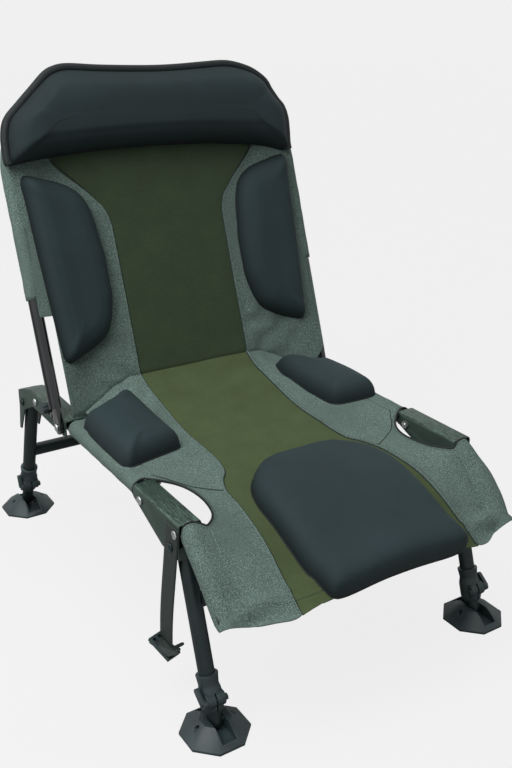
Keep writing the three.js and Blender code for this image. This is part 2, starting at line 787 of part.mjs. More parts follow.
// Shares of half the pad's width and of its height from low to high
const backPadShares = [
  [-1, 0.66], [-1, 0.24], [-0.72, 0.12], [-0.15, 0.05], [0.82, 0],
  [0.96, 0.3], [1, 0.99], [0.2, 1], [-0.5, 0.94], [-0.88, 0.84],
];

// Place along the posts as a share of the back's face
function backShare(x, along) {
  const low = backPoint(x, 0).z;
  const high = backPoint(x, 1).z;
  return (along - low) / (high - low);
}

const backByLength = (x, along) => backPoint(x, backShare(x, along));

function backPadSolid(side) {
  const corners = backPadShares.map(([across, up]) => [
    side * (postX - backPad.insidePost + across * backPad.width / 2),
    THREE.MathUtils.lerp(backPad.low, postLength - backPad.highBelowBar, up),
  ]);
  const outline = roundedOutline(corners, backPad.roundness, backPad.points);
  return cut(cushion(backByLength, frontwards, outline, backPad.height), backBed);
}

const headrest = { outsidePost: 7.7, aboveBar: 28, length: 167, height: 62, roundness: 0.3, points: 32 };
// Shares of half the pillow's width and of its length from low to high
const headrestShares = [
  [-0.98, 0], [-0.5, 0.08], [0, 0.11], [0.5, 0.08], [0.98, 0],
  [1, 0.26], [0.96, 0.5], [0.84, 0.77], [0.65, 0.98], [0.46, 1],
  [-0.46, 1], [-0.65, 0.98], [-0.84, 0.77], [-0.96, 0.5], [-1, 0.26],
];

const headrestSideShares = [
  [0.97, 0], [1, 0.14], [0.99, 0.34], [0.96, 0.56], [0.89, 0.75], [0.78, 0.9], [0.55, 0.98], [0.3, 1],
];

function headrestSolid() {
  const high = postLength + headrest.aboveBar;
  const corners = headrestShares.map(([across, up]) => [
    across * (postX + headrest.outsidePost), THREE.MathUtils.lerp(high - headrest.length, high, up),
  ]);
  const outline = roundedOutline(corners, headrest.roundness, headrest.points);
  return cut(cushion(backByLength, frontwards, outline, headrest.height, headrestSideShares), backBed);
}

// Recline knob with its threaded stud

const knobDiameter = 20;
const knobHeight = 13;
const knobLobes = 6;
const knobLobeRadius = 4;

function reclineKnob(side) {
  const seat = postFlatX.inner + reclinePlateThickness + gap;
  const at = (x) => [side * x, studY, studZ];
  const body = rod(knobDiameter / 2 - knobLobeRadius / 2, at(seat), at(seat + knobHeight));
  const lobes = Array.from({ length: knobLobes }, (_, index) => {
    const angle = Math.PI * 2 * index / knobLobes;
    const reach = knobDiameter / 2 - knobLobeRadius;
    const y = studY + reach * Math.cos(angle);
    const z = studZ + reach * Math.sin(angle);
    return rod(knobLobeRadius, [side * seat, y, z], [side * (seat + knobHeight), y, z], rodSides / 2);
  });
  const stud = rod(boltRadius, at(channelX.outer - gap), at(seat + knobHeight / 2));
  return union(body, stud, ...lobes);
}

// Strap: flat webbing that hangs from the left front bracket, with a buckle at its end

const strap = {
  width: 38, length: 217, thickness: 1.6, abovePivot: 37, slant: 29,
  rivetForward: 13, rivetRise: 26, rivetDiameter: 7,
};
const buckle = {
  width: 46, reach: 24, thickness: 6, slot: 6, rim: 4, tilt: THREE.MathUtils.degToRad(24),
  lever: 24, leverThickness: 5, leverRise: THREE.MathUtils.degToRad(84),
};
// Where the buckle's slots lie, as shares of its reach
const buckleSlotShares = [0.28, 0.72];

const strapBelowPivot = strap.length - strap.abovePivot;
const strapInnerX = -(cheekX.outer + gap);
const strapOuterX = strapInnerX - strap.thickness;
const strapRivetPlace = { y: frontPivotY - strap.rivetForward, z: legPivotZ + strap.rivetRise };

// How far behind the pivot the strap's centre line lies at a height over the pivot
function strapSlant(rise) {
  return strap.slant * -rise / strap.length;
}

function strapRivetHole() {
  const { y, z } = strapRivetPlace;
  const radius = (strap.rivetDiameter / 2 + gap) / Math.cos(Math.PI / boltSides);
  return rod(radius, [strapOuterX - overrun, y, z], [-(channelX.outer - gap), y, z], boltSides);
}

function strapSolid() {
  const half = strap.width / 2;
  const top = frontPivotY + strapSlant(strap.abovePivot);
  const bottom = frontPivotY + strapSlant(-strapBelowPivot);
  const topZ = legPivotZ + strap.abovePivot;
  const bottomZ = legPivotZ - strapBelowPivot;
  const web = plateAlongX(
    [[top - half, topZ], [bottom - half, bottomZ], [bottom + half, bottomZ], [top + half, topZ]],
    strapInnerX, strapOuterX);
  return cut(web, strapRivetHole(), boltHole(-1, cheekX.inner, cheekX.outer, frontPivotY, legPivotZ));
}

function strapRivet() {
  const { y, z } = strapRivetPlace;
  const outer = strapOuterX - gap;
  const head = rod(strap.rivetDiameter, [outer - strap.thickness, y, z], [outer, y, z], boltSides);
  const shank = rod(strap.rivetDiameter / 2, [outer, y, z], [-(channelX.outer + gap), y, z], boltSides);
  return union(head, shank);
}

// The buckle's plate is tilted down to the front, with its slots along its width and a lever at its front end
function strapBuckle() {
  const y = frontPivotY + strapSlant(-strapBelowPivot);
  const half = buckle.width / 2;
  const low = -buckle.thickness / 2;
  const high = buckle.thickness / 2;
  const plate = block([-buckle.reach, -half, low], [0, half, high]);
  const slots = buckleSlotShares.map((share) => block(
    [-buckle.reach * share - buckle.slot / 2, -half + buckle.rim, low - overrun],
    [-buckle.reach * share + buckle.slot / 2, half - buckle.rim, high + overrun]));
  const leverRadius = buckle.leverThickness / 2;
  const leverX = -buckle.reach / 2;
  const tipY = -half - buckle.lever * Math.cos(buckle.leverRise);
  const tipZ = buckle.lever * Math.sin(buckle.leverRise);
  const lever = rod(leverRadius, [leverX, -half + leverRadius, 0], [leverX, tipY, tipZ], boltSides);
  const whole = union(cut(plate, ...slots), lever);
  const turn = new THREE.Matrix4().makeRotationX(buckle.tilt);
  const drop = half * Math.sin(buckle.tilt) + buckle.thickness / 2 * Math.cos(buckle.tilt) + gap;
  turn.setPosition(strapInnerX, y, legPivotZ - strapBelowPivot - drop);
  return whole.transform(turn.elements);
}

// Legs, in a frame whose origin is the pivot and whose -Z runs down the leg

const footPinHeight = 18;
const legPlugLength = 18;

function legSpan(lean) {
  return (legPivotZ - footPinHeight) / Math.cos(lean);
}

const legs = {
  front: {
    lean: frontLean, pivotY: frontPivotY, crossShare: frontCrossShare,
    tubeLength: legSpan(frontLean) - frontTubeAbovePin,
  },
  rear: {
    lean: rearLean, pivotY: rearPivotY, crossShare: rearCrossShare,
    tubeLength: legSpan(rearLean) - rearTubeAbovePin,
  },
};
const collar = {
  length: 58, radius: 15.6, lipRadius: 17.4, lip: 4, barrelRadius: 17.8, barrelLength: 34, taper: 8,
  overlap: 30, slit: 2.4, slitLength: 30, earRadius: 12, earReach: 15, earOffset: 10, earRise: 20,
};
const clampScrewRadius = 3;
const clampHeadRadius = 5.5;
const clampHeadHeight = 3;
const wing = {
  hub: 6.5, hubLength: 7, length: 22, width: 9, thickness: 6, angle: THREE.MathUtils.degToRad(35),
};
const extensionTopBelowPivot = 62;
const extensionPlug = 26;

function legTube(side, leg) {
  const x = side * railX;
  const bottom = -leg.tubeLength;
  const shaft = rod(legRadius, [x, 0, bottom], [x, 0, legRadius]);
  const roundEnd = union(
    rod(legRadius, [x - legDiameter, 0, 0], [x + legDiameter, 0, 0]),
    block([x - legDiameter, -legDiameter, bottom - overrun], [x + legDiameter, legDiameter, 0]));
  const bore = rod(legRadius - legWall, [x, 0, bottom - overrun], [x, 0, -legPlugLength]);
  return cut(shaft.intersect(roundEnd), bore, boltHole(side, channelX.inner, channelX.outer, 0, 0));
}

function crossBar(leg) {
  const z = -leg.tubeLength * leg.crossShare;
  const solid = rod(legRadius, [-railX, 0, z], [railX, 0, z]);
  const bore = rod(legRadius - legWall, [-railX - overrun, 0, z], [railX + overrun, 0, z]);
  const copes = [-1, 1].map((side) => rod(
    legRadius + gap, [side * railX, 0, z - legDiameter], [side * railX, 0, z + legDiameter]));
  const beyond = [-1, 1].map((side) => block(
    [side * railX - (side < 0 ? legDiameter : 0), -legDiameter, z - legDiameter],
    [side * railX + (side < 0 ? 0 : legDiameter), legDiameter, z + legDiameter]));
  return cut(solid, bore, ...copes, ...beyond);
}

// A split collar on the tube's lower end: sleeve, lip, swollen barrel and a clamping ear in front
function clampCollar(side, leg) {
  const x = side * railX;
  const top = -leg.tubeLength + collar.overlap;
  const bottom = top - collar.length;
  const profile = [
    [0, bottom], [collar.radius, bottom], [collar.barrelRadius, bottom + collar.taper],
    [collar.barrelRadius, bottom + collar.barrelLength],
    [collar.radius, bottom + collar.barrelLength + collar.taper],
    [collar.radius, top - collar.lip], [collar.lipRadius, top - collar.lip],
    [collar.lipRadius, top], [0, top],
  ];
  const lathe = new THREE.LatheGeometry(profile.map(([radius, z]) => new THREE.Vector2(radius, z)), rodSides);
  lathe.rotateX(Math.PI / 2);
  lathe.translate(x, 0, 0);
  const earZ = bottom + collar.earRise;
  const ear = rod(
    collar.earRadius,
    [x - collar.earReach, -collar.earOffset, earZ], [x + collar.earReach, -collar.earOffset, earZ]);
  const tubeBore = rod(legRadius + gap, [x, 0, -leg.tubeLength - gap], [x, 0, top + overrun]);
  const thinBore = rod(extensionRadius + gap, [x, 0, bottom - overrun], [x, 0, top]);
  const slit = block(
    [x - collar.slit / 2, -collar.earOffset - collar.earRadius - overrun, bottom - overrun],
    [x + collar.slit / 2, 0, bottom + collar.slitLength]);
  const screwY = -collar.earOffset - collar.earRadius / 2;
  const screwHole = rod(
    clampScrewRadius + gap, [x - legDiameter, screwY, earZ], [x + legDiameter, screwY, earZ], boltSides);
  return cut(union(toSolid(lathe), ear), tubeBore, thinBore, slit, screwHole);
}

function clampPlace(leg) {
  return {
    y: -collar.earOffset - collar.earRadius / 2,
    z: -leg.tubeLength + collar.overlap - collar.length + collar.earRise,
  };
}

// The wing screw that pinches the collar, its wing on the outside of the chair
function clampWing(side, leg) {
  const { y, z } = clampPlace(leg);
  const at = (reach) => [side * (railX + reach), y, z];
  const ear = collar.earReach + gap;
  const inner = ear + wing.hubLength / 2;
  const screw = rod(clampScrewRadius, at(-ear - clampHeadHeight / 2), at(inner), boltSides);
  const head = rod(clampHeadRadius, at(-ear - clampHeadHeight), at(-ear), nutSides);
  const hub = rod(wing.hub, at(ear), at(ear + wing.hubLength), boltSides);
  const outer = inner + wing.thickness;
  const blade = block([inner, -wing.width / 2, 0], [outer, wing.width / 2, wing.length]);
  const tip = rod(wing.width / 2, [inner, 0, wing.length], [outer, 0, wing.length], boltSides);
  const place = new THREE.Matrix4().makeRotationX(-wing.angle);
  place.setPosition(railX, y, z);
  let lever = union(blade, tip).transform(place.elements);
  if (side < 0) lever = lever.mirror([1, 0, 0]);
  return union(screw, head, hub, lever);
}

function extension(side, leg) {
  const x = side * railX;
  const pin = -legSpan(leg.lean);
  const shaft = rod(extensionRadius, [x, 0, pin - extensionRadius], [x, 0, -extensionTopBelowPivot]);
  const roundEnd = union(
    rod(extensionRadius, [x - legDiameter, 0, pin], [x + legDiameter, 0, pin]),
    block([x - legDiameter, -legDiameter, pin], [x + legDiameter, legDiameter, 0]));
  const bore = rod(
    extensionRadius - legWall, [x, 0, pin + extensionPlug], [x, 0, overrun - extensionTopBelowPivot]);
  const pinHole = rod(footPin.radius + gap, [x - legDiameter, 0, pin], [x + legDiameter, 0, pin]);
  return cut(shaft.intersect(roundEnd), bore, pinHole);
}

// Feet: octagonal mud feet, in a level frame whose origin is the foot's pin

const foot = {
  across: 100, rim: 4, crownAcross: 46, height: 25, channel: 24, channelFloor: 6, channelLength: 84, sides: 8,
};
const footPin = { radius: 3.5, length: 40 };

function mudFoot(x) {
  const corner = Math.cos(Math.PI / foot.sides) * 2;
  const reach = foot.across / corner;
  const profile = [
    [0, 0], [reach, 0], [reach, foot.rim], [foot.crownAcross / corner, foot.height], [0, foot.height],
  ];
  const points = profile.map(([radius, z]) => new THREE.Vector2(radius, z - footPinHeight));
  const lathe = new THREE.LatheGeometry(points, foot.sides, Math.PI / foot.sides);
  lathe.rotateX(Math.PI / 2);
  lathe.translate(x, 0, 0);
  const channel = block(
    [x - foot.channel / 2, -foot.channelLength / 2, foot.channelFloor - footPinHeight],
    [x + foot.channel / 2, foot.channelLength / 2, foot.height]);
  const hole = rod(footPin.radius + gap, [x - foot.across, 0, 0], [x + foot.across, 0, 0]);
  return cut(toSolid(lathe), channel, hole);
}

function mudFootPin(x) {
  const half = footPin.length / 2;
  return rod(footPin.radius, [x - half, 0, 0], [x + half, 0, 0], boltSides);
}

// Assembly

const chair = new THREE.Group();
chair.name = 'carp_chair';

const sides = [['left', -1], ['right', 1]];

for (const [name, side] of sides) {
  chair.add(
    toMesh(`seat_rail_${name}`, seatRail(side), paintedFrame),
    toMesh(`front_bracket_${name}`, frontBracket(side), bracketPaint),
    toMesh(`rear_bracket_${name}`, rearBracket(side), bracketPaint),
    toMesh(`front_bracket_bolt_${name}`,
      boltAlongX(side, cheekX.inner, cheekX.outer, bracketBolt.front, railHeight), plainSteel),
    toMesh(`rear_bracket_bolt_${name}`,
      boltAlongX(side, cheekX.inner, cheekX.outer, bracketBolt.rear, railHeight), plainSteel),
    toMesh(`front_leg_pivot_${name}`,
      boltAlongX(side, cheekX.inner, side < 0 ? -strapOuterX : cheekX.outer, frontPivotY, legPivotZ),
      plainSteel),
    toMesh(`rear_leg_pivot_${name}`,
      boltAlongX(side, cheekX.inner, cheekX.outer, rearPivotY, legPivotZ), plainSteel),
    toMesh(`back_pivot_${name}`,
      boltAlongX(side, cheekX.inner, postFlatX.outer, backPivotY, railHeight), plainSteel),
    toMesh(`hip_pad_${name}`, hipPadSolid(side), padFabric),
    toMesh(`recline_knob_${name}`, reclineKnob(side), blackPlastic),
  );
}
chair.add(
  toMesh('seat_front_bar', cut(bar(frontBarStations(), railRadius),
    bar(lengthened(frontBarStations(), overrun), railRadius - railWall)), paintedFrame),
  toMesh('seat_cover', seatCover(), greyFabric),
  toMesh('thigh_pad', thighPadSolid(), padFabric),
  toMesh('strap', strapSolid(), webbing),
  toMesh('strap_rivet', strapRivet(), plainSteel),
  toMesh('strap_buckle', strapBuckle(), blackPlastic),
);

const backrest = new THREE.Group();
backrest.position.set(0, backPivotY, railHeight);
backrest.rotation.x = -backLean;
for (const [name, side] of sides) {
  backrest.add(
    toMesh(`back_post_${name}`, backPost(side), glossTube),
    toMesh(`back_pad_${name}`, backPadSolid(side), padFabric),
  );
}
backrest.add(
  toMesh('back_top_bar', tube(topBarStations(), postRadius, railWall), glossTube),
  toMesh('back_cover', backCover(), greyFabric),
  toMesh('headrest', headrestSolid(), padFabric),
);
chair.add(backrest);

for (const [end, leg] of Object.entries(legs)) {
  const pair = new THREE.Group();
  pair.position.set(0, leg.pivotY, legPivotZ);
  pair.rotation.x = -leg.lean;
  const level = new THREE.Group();
  level.position.set(0, leg.pivotY - Math.tan(leg.lean) * (legPivotZ - footPinHeight), footPinHeight);
  for (const [name, side] of sides) {
    pair.add(
      toMesh(`${end}_leg_tube_${name}`, legTube(side, leg), paintedFrame),
      toMesh(`${end}_leg_collar_${name}`, clampCollar(side, leg), blackPlastic),
      toMesh(`${end}_leg_clamp_${name}`, clampWing(side, leg), blackPlastic),
      toMesh(`${end}_leg_extension_${name}`, extension(side, leg), paintedFrame),
    );
    level.add(
      toMesh(`${end}_foot_${name}`, mudFoot(side * railX), blackPlastic),
      toMesh(`${end}_foot_pin_${name}`, mudFootPin(side * railX), plainSteel),
    );
  }
  pair.add(toMesh(`${end}_leg_cross_bar`, crossBar(leg), paintedFrame));
  chair.add(pair, level);
}

// The origin stands under the middle of the chair's box, on the floor
chair.updateMatrixWorld(true);
const bounds = new THREE.Box3().setFromObject(chair);
chair.position.y = -(bounds.min.y + bounds.max.y) / 2;
chair.updateMatrixWorld(true);

export default chair;
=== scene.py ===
"""A folding carp chair with a sling seat and a reclining back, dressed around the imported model."""

import json
import math

import bmesh
import bpy
from bpy.props import FloatProperty, FloatVectorProperty, IntProperty, PointerProperty
from bpy.types import Operator, Panel, PropertyGroup
from mathutils import Matrix, Vector, noise


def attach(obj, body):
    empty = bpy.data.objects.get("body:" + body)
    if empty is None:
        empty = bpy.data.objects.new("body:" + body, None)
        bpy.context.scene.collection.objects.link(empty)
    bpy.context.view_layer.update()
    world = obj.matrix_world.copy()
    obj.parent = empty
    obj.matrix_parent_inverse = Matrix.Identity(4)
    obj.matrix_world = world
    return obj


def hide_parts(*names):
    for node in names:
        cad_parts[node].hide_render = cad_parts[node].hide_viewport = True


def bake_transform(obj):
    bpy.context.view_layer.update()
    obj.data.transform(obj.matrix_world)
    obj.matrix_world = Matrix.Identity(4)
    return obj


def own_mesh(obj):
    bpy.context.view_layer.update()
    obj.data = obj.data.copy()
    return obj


bl_info = {
    "name": "Folding Carp Chair",
    "version": (1, 0, 0),
    "blender": (4, 5, 0),
    "location": "View3D > Sidebar > Chair",
    "description": "Builds a folding carp chair with a sling seat, piece by piece",
    "category": "Object",
}

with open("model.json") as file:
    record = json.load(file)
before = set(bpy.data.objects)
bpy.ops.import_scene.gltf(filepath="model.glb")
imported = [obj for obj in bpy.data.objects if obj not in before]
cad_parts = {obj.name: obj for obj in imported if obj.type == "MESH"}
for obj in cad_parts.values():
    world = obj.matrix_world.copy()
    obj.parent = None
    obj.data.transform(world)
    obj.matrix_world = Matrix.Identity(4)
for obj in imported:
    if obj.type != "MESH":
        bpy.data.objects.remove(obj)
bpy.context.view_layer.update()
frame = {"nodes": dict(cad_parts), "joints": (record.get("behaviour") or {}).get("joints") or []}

MM = 0.001
Y_AXIS = Vector((0, 1, 0))
Z_AXIS = Vector((0, 0, 1))
SIDES = (("left", -1), ("right", 1))
ENDS = ("front", "rear")
JOINTS = {joint["name"]: joint for joint in frame["joints"]}

# Sizes that the cloth follows too, in millimetres; places are from the middle of the seat frame

RECLINE_Y = 172
RAIL_HEIGHT = 304
BEND_Y = -236
BEND_RADIUS = 50
BAR_BOW = 30
RAIL_HALF = 263
LEG_PIVOT_Y = {"front": -236, "rear": 376}
LEG_PIVOT_HEIGHT = 276
BACK_HALF = 286.3
BACK_CORNER = 150
BACK_TOP = 587

# The frame's sizes in metres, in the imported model's own frame

RECLINE = Vector(JOINTS["back_recline"]["pos_m"])
SHIFT = RECLINE.y - RECLINE_Y * MM
BACK_LEAN = math.radians(20.3)
BACK = Matrix.Translation(RECLINE) @ Matrix.Rotation(-BACK_LEAN, 4, "X")
LEG_LEAN = {"front": math.radians(18.7), "rear": math.radians(-18)}
LEG_PIVOT = {end: Vector(JOINTS[f"{end}_legs_fold"]["pos_m"]) for end in ENDS}
LEG = {end: Matrix.Translation(LEG_PIVOT[end]) @ Matrix.Rotation(-LEG_LEAN[end], 4, "X") for end in ENDS}
RAIL_X = RAIL_HALF * MM
RAIL_Z = RAIL_HEIGHT * MM
RAIL_RADIUS = 12.5 * MM
RAIL_REAR_Y = 325 * MM
RAIL_BEND_Y = BEND_Y * MM
RAIL_BEND_RADIUS = BEND_RADIUS * MM
RAIL_DROP = 110 * MM
RAIL_ANGLE = math.radians(45)
FRONT_BOW = BAR_BOW * MM
POST_X = BACK_HALF * MM
POST_RADIUS = 11 * MM
POST_LENGTH = BACK_TOP * MM
POST_CORNER = BACK_CORNER * MM
TOP_BAR_REACH = POST_X - POST_CORNER - 22 * MM
LEG_RADIUS = 12.5 * MM
EXTENSION_RADIUS = 11 * MM
LEG_PIVOT_Z = LEG_PIVOT_HEIGHT * MM
FOOT_PIN_Z = 18 * MM
CLEAR = 0.3 * MM
TUBE_SHARP = math.radians(32)
CLOTH_SHARP = math.radians(50)


class ChairSizes(PropertyGroup):
    """Sizes of the finish that a user would change"""

    edge_round: FloatProperty(
        name="Plate edge", description="Rounding of the folded plates", default=0.9 * MM, unit="LENGTH")
    cloth_thickness: FloatProperty(
        name="Cloth", description="Thickness of the sling cloth", default=1.8 * MM, unit="LENGTH")
    cloth_cell: FloatProperty(
        name="Cloth cell", description="Spacing of the sling's mesh", default=6 * MM, unit="LENGTH")
    stitch_pitch: FloatProperty(
        name="Stitch pitch", description="Distance between two stitches", default=4.6 * MM, unit="LENGTH")
    stitch_radius: FloatProperty(
        name="Thread", description="Half the thickness of the thread", default=0.45 * MM, unit="LENGTH")
    pressure: FloatProperty(name="Pressure", description="Air pressure that swells the pads", default=4.0)
    swell_frames: IntProperty(name="Frames", description="Frames of simulation for each pad", default=18)
    ring_sides: IntProperty(name="Tube sides", description="Sides of a tube's ring", default=40)


class ChairColours(PropertyGroup):
    """Colours of the finishes, as linear values"""

    frame_paint: FloatVectorProperty(
        name="Frame paint", description="Satin paint of the seat frame and the legs",
        default=(0.012, 0.021, 0.022), subtype="COLOR")
    gloss_tube: FloatVectorProperty(
        name="Back tube", description="Gloss paint of the back's tube",
        default=(0.005, 0.007, 0.008), subtype="COLOR")
    # The brackets' streaky tops are partly painted highlights, lighter than their cheeks
    bracket_paint: FloatVectorProperty(
        name="Bracket paint", description="Streaky paint of the folded brackets",
        default=(0.037, 0.062, 0.05), subtype="COLOR")
    black_plastic: FloatVectorProperty(
        name="Plastic", description="Collars, wings and feet", default=(0.02, 0.034, 0.037), subtype="COLOR")
    plain_steel: FloatVectorProperty(
        name="Steel", description="Bolts, rivets and pins", default=(0.45, 0.47, 0.46), subtype="COLOR")
    grey_cloth: FloatVectorProperty(
        name="Grey cloth", description="Melange cloth of the sling",
        default=(0.106, 0.155, 0.136), subtype="COLOR")
    green_cloth: FloatVectorProperty(
        name="Green cloth", description="Olive centre panel", default=(0.062, 0.09, 0.034), subtype="COLOR")
    back_green_cloth: FloatVectorProperty(
        name="Back green cloth", description="Darker olive panel of the back",
        default=(0.033, 0.055, 0.026), subtype="COLOR")
    pad_knit: FloatVectorProperty(
        name="Pad knit", description="Smooth dark knit of the pads",
        default=(0.0185, 0.0335, 0.0365), subtype="COLOR")
    binding: FloatVectorProperty(
        name="Binding", description="Black edge binding", default=(0.006, 0.009, 0.01), subtype="COLOR")
    webbing: FloatVectorProperty(
        name="Webbing", description="Black strap webbing", default=(0.011, 0.017, 0.015), subtype="COLOR")
    backdrop: FloatVectorProperty(
        name="Backdrop", description="Pale floor and backdrop", default=(0.87, 0.87, 0.87), subtype="COLOR")


# Small helpers for meshes

def place(x, y, z):
    """A point given in millimetres from the middle of the seat frame"""
    return Vector((x * MM, y * MM + SHIFT, z * MM))


def smoothstep(value, low, high):
    share = min(max((value - low) / (high - low), 0), 1)
    return share * share * (3 - 2 * share)


def lerp(low, high, share):
    return low + (high - low) * share


def spline(knots, at):
    """A smooth curve through (place, value) knots, without overshoot at the ends"""
    if at <= knots[0][0]:
        return knots[0][1]
    if at >= knots[-1][0]:
        return knots[-1][1]
    index = next(number for number, knot in enumerate(knots) if knot[0] > at)
    before, after = knots[index - 1], knots[index]
    first = knots[max(index - 2, 0)]
    last = knots[min(index + 1, len(knots) - 1)]
    span = after[0] - before[0]
    start_slope = (after[1] - first[1]) / (after[0] - first[0])
    end_slope = (last[1] - before[1]) / (last[0] - before[0])
    share = (at - before[0]) / span
    square, cube = share * share, share ** 3
    return (
        (2 * cube - 3 * square + 1) * before[1] + (cube - 2 * square + share) * span * start_slope
        + (3 * square - 2 * cube) * after[1] + (cube - square) * span * end_slope
    )


def boundary_loop(mesh):
    return [edge for edge in mesh.edges if edge.is_boundary]


def of_kind(items, kind):
    return [item for item in items if isinstance(item, kind)]


def grow_edges(mesh, edges):
    """Extrudes a row of edges and gives its new points and edges"""
    grown = bmesh.ops.extrude_edge_only(mesh, edges=edges)["geom"]
    return of_kind(grown, bmesh.types.BMVert), of_kind(grown, bmesh.types.BMEdge)


def grow_face(mesh, face, way):
    """Extrudes a face along a way"""
    grown = bmesh.ops.extrude_face_region(mesh, geom=[face])["geom"]
    bmesh.ops.translate(mesh, verts=of_kind(grown, bmesh.types.BMVert), vec=way)


def new_piece(name, mesh, materials, smooth_angle=TUBE_SHARP):
    """Makes an object at the origin from a bmesh"""
    data = bpy.data.meshes.new(name)
    mesh.normal_update()
    mesh.to_mesh(data)
    mesh.free()
    for material in materials:
        data.materials.append(material)
    data.polygons.foreach_set("use_smooth", [True] * len(data.polygons))
    if smooth_angle:
        data.set_sharp_from_angle(angle=smooth_angle)
    made = bpy.data.objects.new(name, data)
    bpy.context.scene.collection.objects.link(made)
    return made


def applied(made):
    """Turns a piece's modifiers into plain mesh"""
    bpy.context.view_layer.update()
    graph = bpy.context.evaluated_depsgraph_get()
    data = bpy.data.meshes.new_from_object(made.evaluated_get(graph))
    old = made.data
    made.modifiers.clear()
    made.data = data
    bpy.data.meshes.remove(old)
    data.name = made.name
    return made


def finish_piece(made, body, nodes=()):
    if nodes:
        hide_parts(*nodes)
    if body:
        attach(made, body)
    return made


def sweep(mesh, path, radii, sides, caps=True):
    """Carries a ring along a path; radii is one radius or one for each point"""
    if not hasattr(radii, "__len__"):
        radii = [radii] * len(path)
    tangents = []
    for index in range(len(path)):
        before = path[max(index - 1, 0)]
        after = path[min(index + 1, len(path) - 1)]
        tangents.append((after - before).normalized())
    turn = Z_AXIS.rotation_difference(tangents[0]).to_matrix().to_4x4()
    ring = bmesh.ops.create_circle(
        mesh, segments=sides, radius=radii[0], matrix=Matrix.Translation(path[0]) @ turn)["verts"]
    edges = list({edge for vert in ring for edge in vert.link_edges})
    if caps:
        mesh.faces.new(ring)
    for index in range(1, len(path)):
        ring, edges = grow_edges(mesh, edges)
        bmesh.ops.translate(mesh, verts=ring, vec=path[index] - path[index - 1])
        twist = tangents[index - 1].rotation_difference(tangents[index]).to_matrix()
        bmesh.ops.rotate(mesh, verts=ring, cent=path[index], matrix=twist)
        ratio = radii[index] / radii[index - 1]
        if abs(ratio - 1) > 1e-6:
            bmesh.ops.scale(
                mesh, verts=ring, vec=(ratio, ratio, ratio), space=Matrix.Translation(-path[index]))
    if caps:
        bmesh.ops.contextual_create(mesh, geom=edges)


def turned(mesh, profile, matrix, sides):
    """Spins a profile of (radius, height) about Z and puts it in place"""
    verts = [mesh.verts.new((radius, 0, height)) for radius, height in profile]
    edges = [mesh.edges.new((verts[index], verts[index + 1])) for index in range(len(verts) - 1)]
    bmesh.ops.spin(
        mesh, geom=verts + edges, cent=(0, 0, 0), axis=(0, 0, 1), dvec=(0, 0, 0),
        angle=2 * math.pi, steps=sides, use_merge=True)
    linked = set()
    stack = list(verts)
    while stack:
        vert = stack.pop()
        if vert in linked or not vert.is_valid:
            continue
        linked.add(vert)
        stack.extend(edge.other_vert(vert) for edge in vert.link_edges)
    bmesh.ops.remove_doubles(mesh, verts=list(linked), dist=1e-6)
    linked = [vert for vert in linked if vert.is_valid]
    bmesh.ops.transform(mesh, matrix=matrix, verts=linked)


def along_x(side, y, z):
    """A frame whose +Z points outwards along X on one side of the chair"""
    return Matrix.Translation(Vector((0, y, z))) @ Matrix.Rotation(side * math.pi / 2, 4, "Y")


def rounded(mesh, width, segments=3, angle=math.radians(28)):
    """Bevels every edge that is sharper than an angle"""
    edges = [
        edge for edge in mesh.edges
        if len(edge.link_faces) == 2 and edge.calc_face_angle(0) > angle
    ]
    bmesh.ops.bevel(
        mesh, geom=edges, offset=width, offset_type="OFFSET", segments=segments, profile=0.5,
        affect="EDGES", clamp_overlap=True, material=-1)


def outward(mesh):
    bmesh.ops.remove_doubles(mesh, verts=list(mesh.verts), dist=1e-6)
    bmesh.ops.recalc_face_normals(mesh, faces=list(mesh.faces))


def softened(node, width, segments=2):
    """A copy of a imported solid, merged, with flat faces joined and its edges rounded"""
    mesh = bmesh.new()
    mesh.from_mesh(frame["nodes"][node].data)
    bmesh.ops.remove_doubles(mesh, verts=list(mesh.verts), dist=2e-6)
    bmesh.ops.dissolve_limit(
        mesh, angle_limit=math.radians(2), verts=list(mesh.verts), edges=list(mesh.edges), delimit={"NORMAL"})
    if width:
        rounded(mesh, width, segments)
    return mesh


def combined(made, other, operation):
    """Joins another piece to a piece or cuts it away, and deletes the other"""
    tool = made.modifiers.new("tool", "BOOLEAN")
    tool.operation = operation
    tool.solver = "EXACT"
    tool.object = other
    applied(made)
    data = other.data
    bpy.data.objects.remove(other)
    bpy.data.meshes.remove(data)


def thickened(made, thickness, offset=-1):
    """Gives a cloth its thickness"""
    wall = made.modifiers.new("wall", "SOLIDIFY")
    wall.thickness = thickness
    wall.offset = offset
    applied(made)


# Materials

MIX_FACTOR = 0
MIX_FIRST = 6
MIX_SECOND = 7
MIX_RESULT = 2


